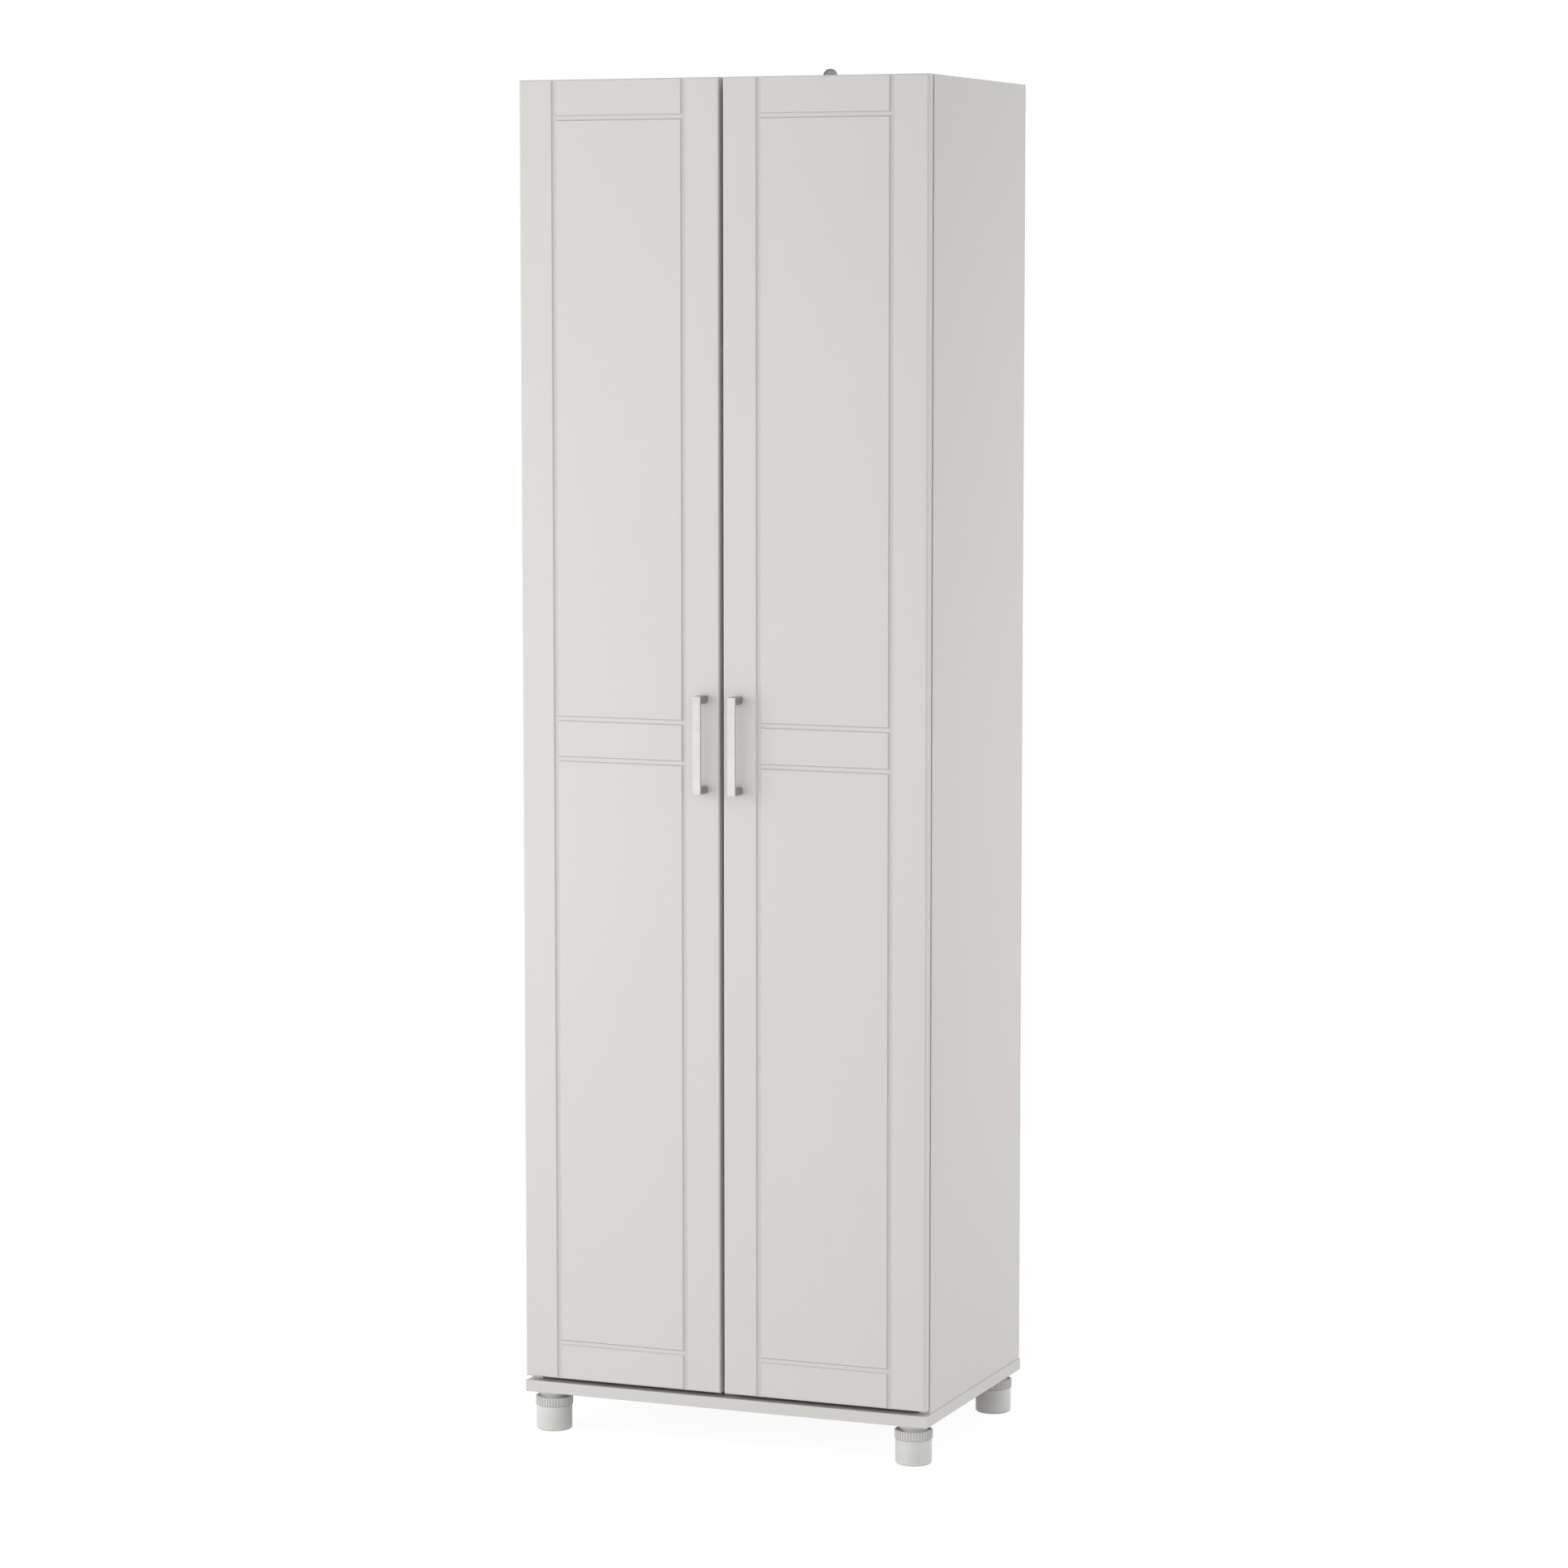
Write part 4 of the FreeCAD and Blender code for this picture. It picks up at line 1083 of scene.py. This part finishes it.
@dataclass
class Foot:
    """A levelling foot: a ribbed collar that turns and a cup that it lowers."""

    name: str
    segments: int = 96
    collar_wall: float = 2.95 * MILLIMETRE
    collar_skin: float = 1.5 * MILLIMETRE
    rim_round: float = 0.6 * MILLIMETRE
    rim_steps: int = 4
    web_recess: float = 2.0 * MILLIMETRE
    web_thickness: float = 2.0 * MILLIMETRE
    web_bore: float = 15.3 * MILLIMETRE
    rib_count: int = 40
    rib_radius: float = 0.9 * MILLIMETRE
    rib_margin: float = 0.9 * MILLIMETRE
    cup_radius: float = 25.0 * MILLIMETRE
    cup_wall: float = 2.5 * MILLIMETRE
    cup_floor: float = 3.0 * MILLIMETRE
    cup_round: float = 3.0 * MILLIMETRE
    cup_steps: int = 8
    shoulder: float = 34.4 * MILLIMETRE
    shoulder_round: float = 0.4 * MILLIMETRE
    shoulder_steps: int = 3
    neck_gap: float = 0.3 * MILLIMETRE
    neck_wall: float = 2.5 * MILLIMETRE

    def collar(self, ribs: GeometryTree, finish: Material) -> Piece:
        """Return the collar.

        Args:
            ribs: the tree that sets its ribs.
            finish: its material.

        Returns:
            The piece that stands for the CAD collar.
        """
        node = f"{self.name}_foot_collar"
        low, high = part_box(node)
        middle = (low + high) / 2
        outer = (high.x - low.x) / 2
        inner = outer - self.collar_wall
        skin = outer - self.collar_skin
        bottom, rim = low.z, high.z
        web_top = rim - self.web_recess
        web_low = web_top - self.web_thickness
        ease = self.rim_round
        body = [
            (inner, web_top),
            (inner, rim - ease / 2),
            (inner + ease / 2, rim),
            *arc((skin - ease, rim - ease), ease, 90, 0, self.rim_steps),
            *arc((skin - ease, bottom + ease), ease, 0, -90, self.rim_steps),
            (inner, bottom),
            (inner, web_low),
            (self.web_bore, web_low),
            (self.web_bore, web_top),
        ]
        place = Vector((middle.x, middle.y, 0.0))
        piece = new_piece(f"{node}_made", turned(f"{node}_made", body, self.segments, place))
        rib_low, rib_high = bottom + self.rib_margin, rim - self.rib_margin
        values = {
            "Count": self.rib_count,
            "Circle": outer - self.rib_radius,
            "Rib Radius": self.rib_radius,
            "Rib Height": rib_high - rib_low,
            "Place": (middle.x, middle.y, (rib_low + rib_high) / 2),
            "Finish": finish,
        }
        return stand_for(ribs.run(piece, values), node)

    def cup(self, finish: Material) -> Piece:
        """Make the cup with its round bottom edge, its shoulder and the neck in the collar.

        Args:
            finish: its material.

        Returns:
            The piece that stands for the CAD cup.
        """
        node = f"{self.name}_foot_cup"
        low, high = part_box(node)
        collar_low, collar_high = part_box(f"{self.name}_foot_collar")
        neck = (collar_high.x - collar_low.x) / 2 - self.collar_wall - self.neck_gap
        neck_top = collar_high.z - self.web_recess - self.web_thickness - self.neck_gap
        inner = self.cup_radius - self.cup_wall
        under = self.shoulder - self.cup_wall
        edge = self.shoulder_round
        outline = [
            (0.0, low.z),
            *arc((self.cup_radius - self.cup_round, self.cup_round), self.cup_round, -90, 0, self.cup_steps),
            *arc((self.cup_radius - edge, self.shoulder - edge), edge, 0, 90, self.shoulder_steps),
            (neck, self.shoulder),
            (neck, neck_top),
            (neck - self.neck_wall, neck_top),
            (neck - self.neck_wall, under),
            (inner, under),
            (inner, self.cup_floor),
            (0.0, self.cup_floor),
        ]
        place = Vector(((low.x + high.x) / 2, (low.y + high.y) / 2, 0.0))
        piece = new_piece(f"{node}_made", turned(f"{node}_made", outline, self.segments, place), finish)
        return stand_for(piece, node)


@dataclass
class Feet:
    """The four feet with their sockets and socket screws."""

    screw_head: float = 1.8 * MILLIMETRE

    def build(self, finishes: Finishes) -> list[Piece]:
        """Make the feet and dress their sockets.

        Args:
            finishes: the cupboard's finishes.

        Returns:
            The feet's pieces.
        """
        ribs = rib_tree()
        pieces = [dress("foot_sockets", finishes.plastic)]
        for name in FEET:
            foot = Foot(name)
            pieces += [foot.collar(ribs, finishes.plastic), foot.cup(finishes.plastic)]
        pieces.append(FastenerSet("foot_socket_screws", self.screw_head).build(finishes.zinc))
        return pieces


@dataclass
class WallBracket:
    """The eared bracket behind the top edge and its two screws."""

    screw_head: float = 1.8 * MILLIMETRE

    def build(self, finishes: Finishes) -> list[Piece]:
        """Return the bracket's pieces in their finishes."""
        screws = FastenerSet("wall_bracket_screws", self.screw_head)
        return [dress("wall_bracket", finishes.bracket), screws.build(finishes.zinc)]


@dataclass(frozen=True)
class Softbox:
    """A square studio lamp that faces a point and stays out of reflections."""

    name: str
    place: Vector
    side: float
    power: float
    aim: Vector = Vector((0.0, 0.0, 0.95))

    def build(self) -> None:
        """Add the lamp to the scene."""
        lamp = bpy.data.lights.new(self.name, "AREA")
        lamp.shape = "SQUARE"
        lamp.size = self.side
        lamp.energy = self.power
        piece = new_piece(self.name, lamp)
        piece.location = self.place
        piece.rotation_euler = (self.aim - self.place).to_track_quat("-Z", "Y").to_euler()
        piece.visible_glossy = False


@dataclass(frozen=True)
class Studio:
    """A pale floor, a white surround that dims overhead, and soft lamps at the left, front and right."""

    floor_half: float = 30.0
    floor_colour: Colour = (0.72, 0.72, 0.72)
    floor_shown: Colour = (0.16, 0.16, 0.16)
    floor_lift: float = 0.92
    floor_tones: Span = (0.99, 1.01)
    floor_roughness: float = 0.9
    speckle: float = 40.0
    surround: float = 0.76
    overhead: float = 0.75
    dim_from: float = 0.15
    dim_to: float = 0.8
    lamps: tuple[Softbox, ...] = (
        Softbox("key", Vector((-1.9, -1.3, 1.1)), side=1.8, power=18.6),
        Softbox("front", Vector((-0.5, -3.0, 1.0)), side=2.4, power=21.0),
        Softbox("fill", Vector((1.95, 1.0, 0.9)), side=1.6, power=11.5),
    )

    def seen(self, graph: NodeGraph) -> Socket:
        """Tell the rays that look at a thing from those that light it.

        Args:
            graph: the graph that gets the nodes.

        Returns:
            A socket of 1 for rays from the camera, a gloss or a glass, and 0 for the rest.
        """
        path = graph.add("ShaderNodeLightPath").outputs
        shown = graph.reckon("MAXIMUM", path["Is Camera Ray"], path["Is Glossy Ray"])
        return graph.reckon("MAXIMUM", shown, path["Is Transmission Ray"])

    def floor(self) -> None:
        """Add the floor, lifted to white where it is looked at, with the object's shadow kept faint."""
        half = self.floor_half
        corners = [(-half, -half, 0), (half, -half, 0), (half, half, 0), (-half, half, 0)]
        mesh = bpy.data.meshes.new("floor")
        mesh.from_pydata(corners, [], [(0, 1, 2, 3)])
        graph = ShaderGraph("studio_floor")
        seen = self.seen(graph)
        speckle = graph.remap(graph.noise(self.speckle, detail=2.0), 0.0, 1.0)
        plain = graph.shades(speckle, self.floor_colour, self.floor_tones)
        graph.connect(Base_Color=graph.blend(seen, plain, scaled(self.floor_shown, 1.0)))
        graph.surface(Roughness=self.floor_roughness, Specular_IOR_Level=0.0, Emission_Color=WHITE)
        graph.connect(Emission_Strength=graph.reckon("MULTIPLY", seen, self.floor_lift))
        new_piece("floor", mesh, graph.material)

    def world(self) -> None:
        """Set a surround that shows white and lights the object most from the level, least from above."""
        world = bpy.data.worlds.new("surround")
        bpy.context.scene.world = world
        world.use_nodes = True
        graph = NodeGraph(world.node_tree)
        way = graph.add("ShaderNodeTexCoord").outputs["Generated"]
        height = graph.add("ShaderNodeSeparateXYZ", {"Vector": way}).outputs["Z"]
        fall = {"From Min": self.dim_from, "From Max": self.dim_to, "To Min": 1.0, "To Max": self.overhead}
        dimming = graph.add("ShaderNodeMapRange", {"Value": height, **fall}, interpolation_type="SMOOTHSTEP")
        level = graph.reckon("MULTIPLY", dimming.outputs["Result"], self.surround)
        strength = graph.add("ShaderNodeMix", {0: self.seen(graph), 2: level, 3: 1.0}).outputs[0]
        light = graph.tree.nodes["Background"].inputs
        light["Color"].default_value = WHITE
        graph.tree.links.new(strength, light["Strength"])

    def build(self) -> None:
        """Add the floor, the surround and the lamps."""
        self.floor()
        self.world()
        for lamp in self.lamps:
            lamp.build()


@dataclass(frozen=True)
class PhotoCamera:
    """The photograph's viewpoint, tilted down where the photograph's own lens was shifted."""

    place: Vector = Vector((2.4655, -6.0878, 1.5876))
    yaw: float = math.radians(21.899)
    tilt: float = math.radians(5.959)
    focal_pixels: float = 5858.8
    frame_pixels: float = 1932.0
    sensor: float = 36.0
    far: float = 100.0

    def build(self) -> None:
        """Add the camera and make it the scene's."""
        data = bpy.data.cameras.new("camera")
        data.sensor_width = self.sensor
        data.lens = self.sensor * self.focal_pixels / self.frame_pixels
        data.clip_end = self.far
        piece = new_piece("camera", data)
        piece.location = self.place
        piece.rotation_euler = (math.pi / 2 - self.tilt, 0.0, self.yaw)
        bpy.context.scene.camera = piece


def write_sizes() -> None:
    """Update the view layer."""
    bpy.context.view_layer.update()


def main() -> None:
    """Build and dress every sub-assembly, then the studio and the camera."""
    logging.basicConfig(level=logging.INFO, format="%(message)s")
    bpy.context.scene.view_settings.view_transform = "Standard"
    finishes = Finishes()
    assemblies = [Case(), Back(), Hinges(), *(Door(side) for side in SIDES), Feet(), WallBracket()]
    for assembly in assemblies:
        for piece in assembly.build(finishes):
            LOG.info("%s: %s, %d faces", type(assembly).__name__, piece.name, len(piece.data.polygons))
    Studio().build()
    PhotoCamera().build()
    write_sizes()


if __name__ == "__main__":
    main()
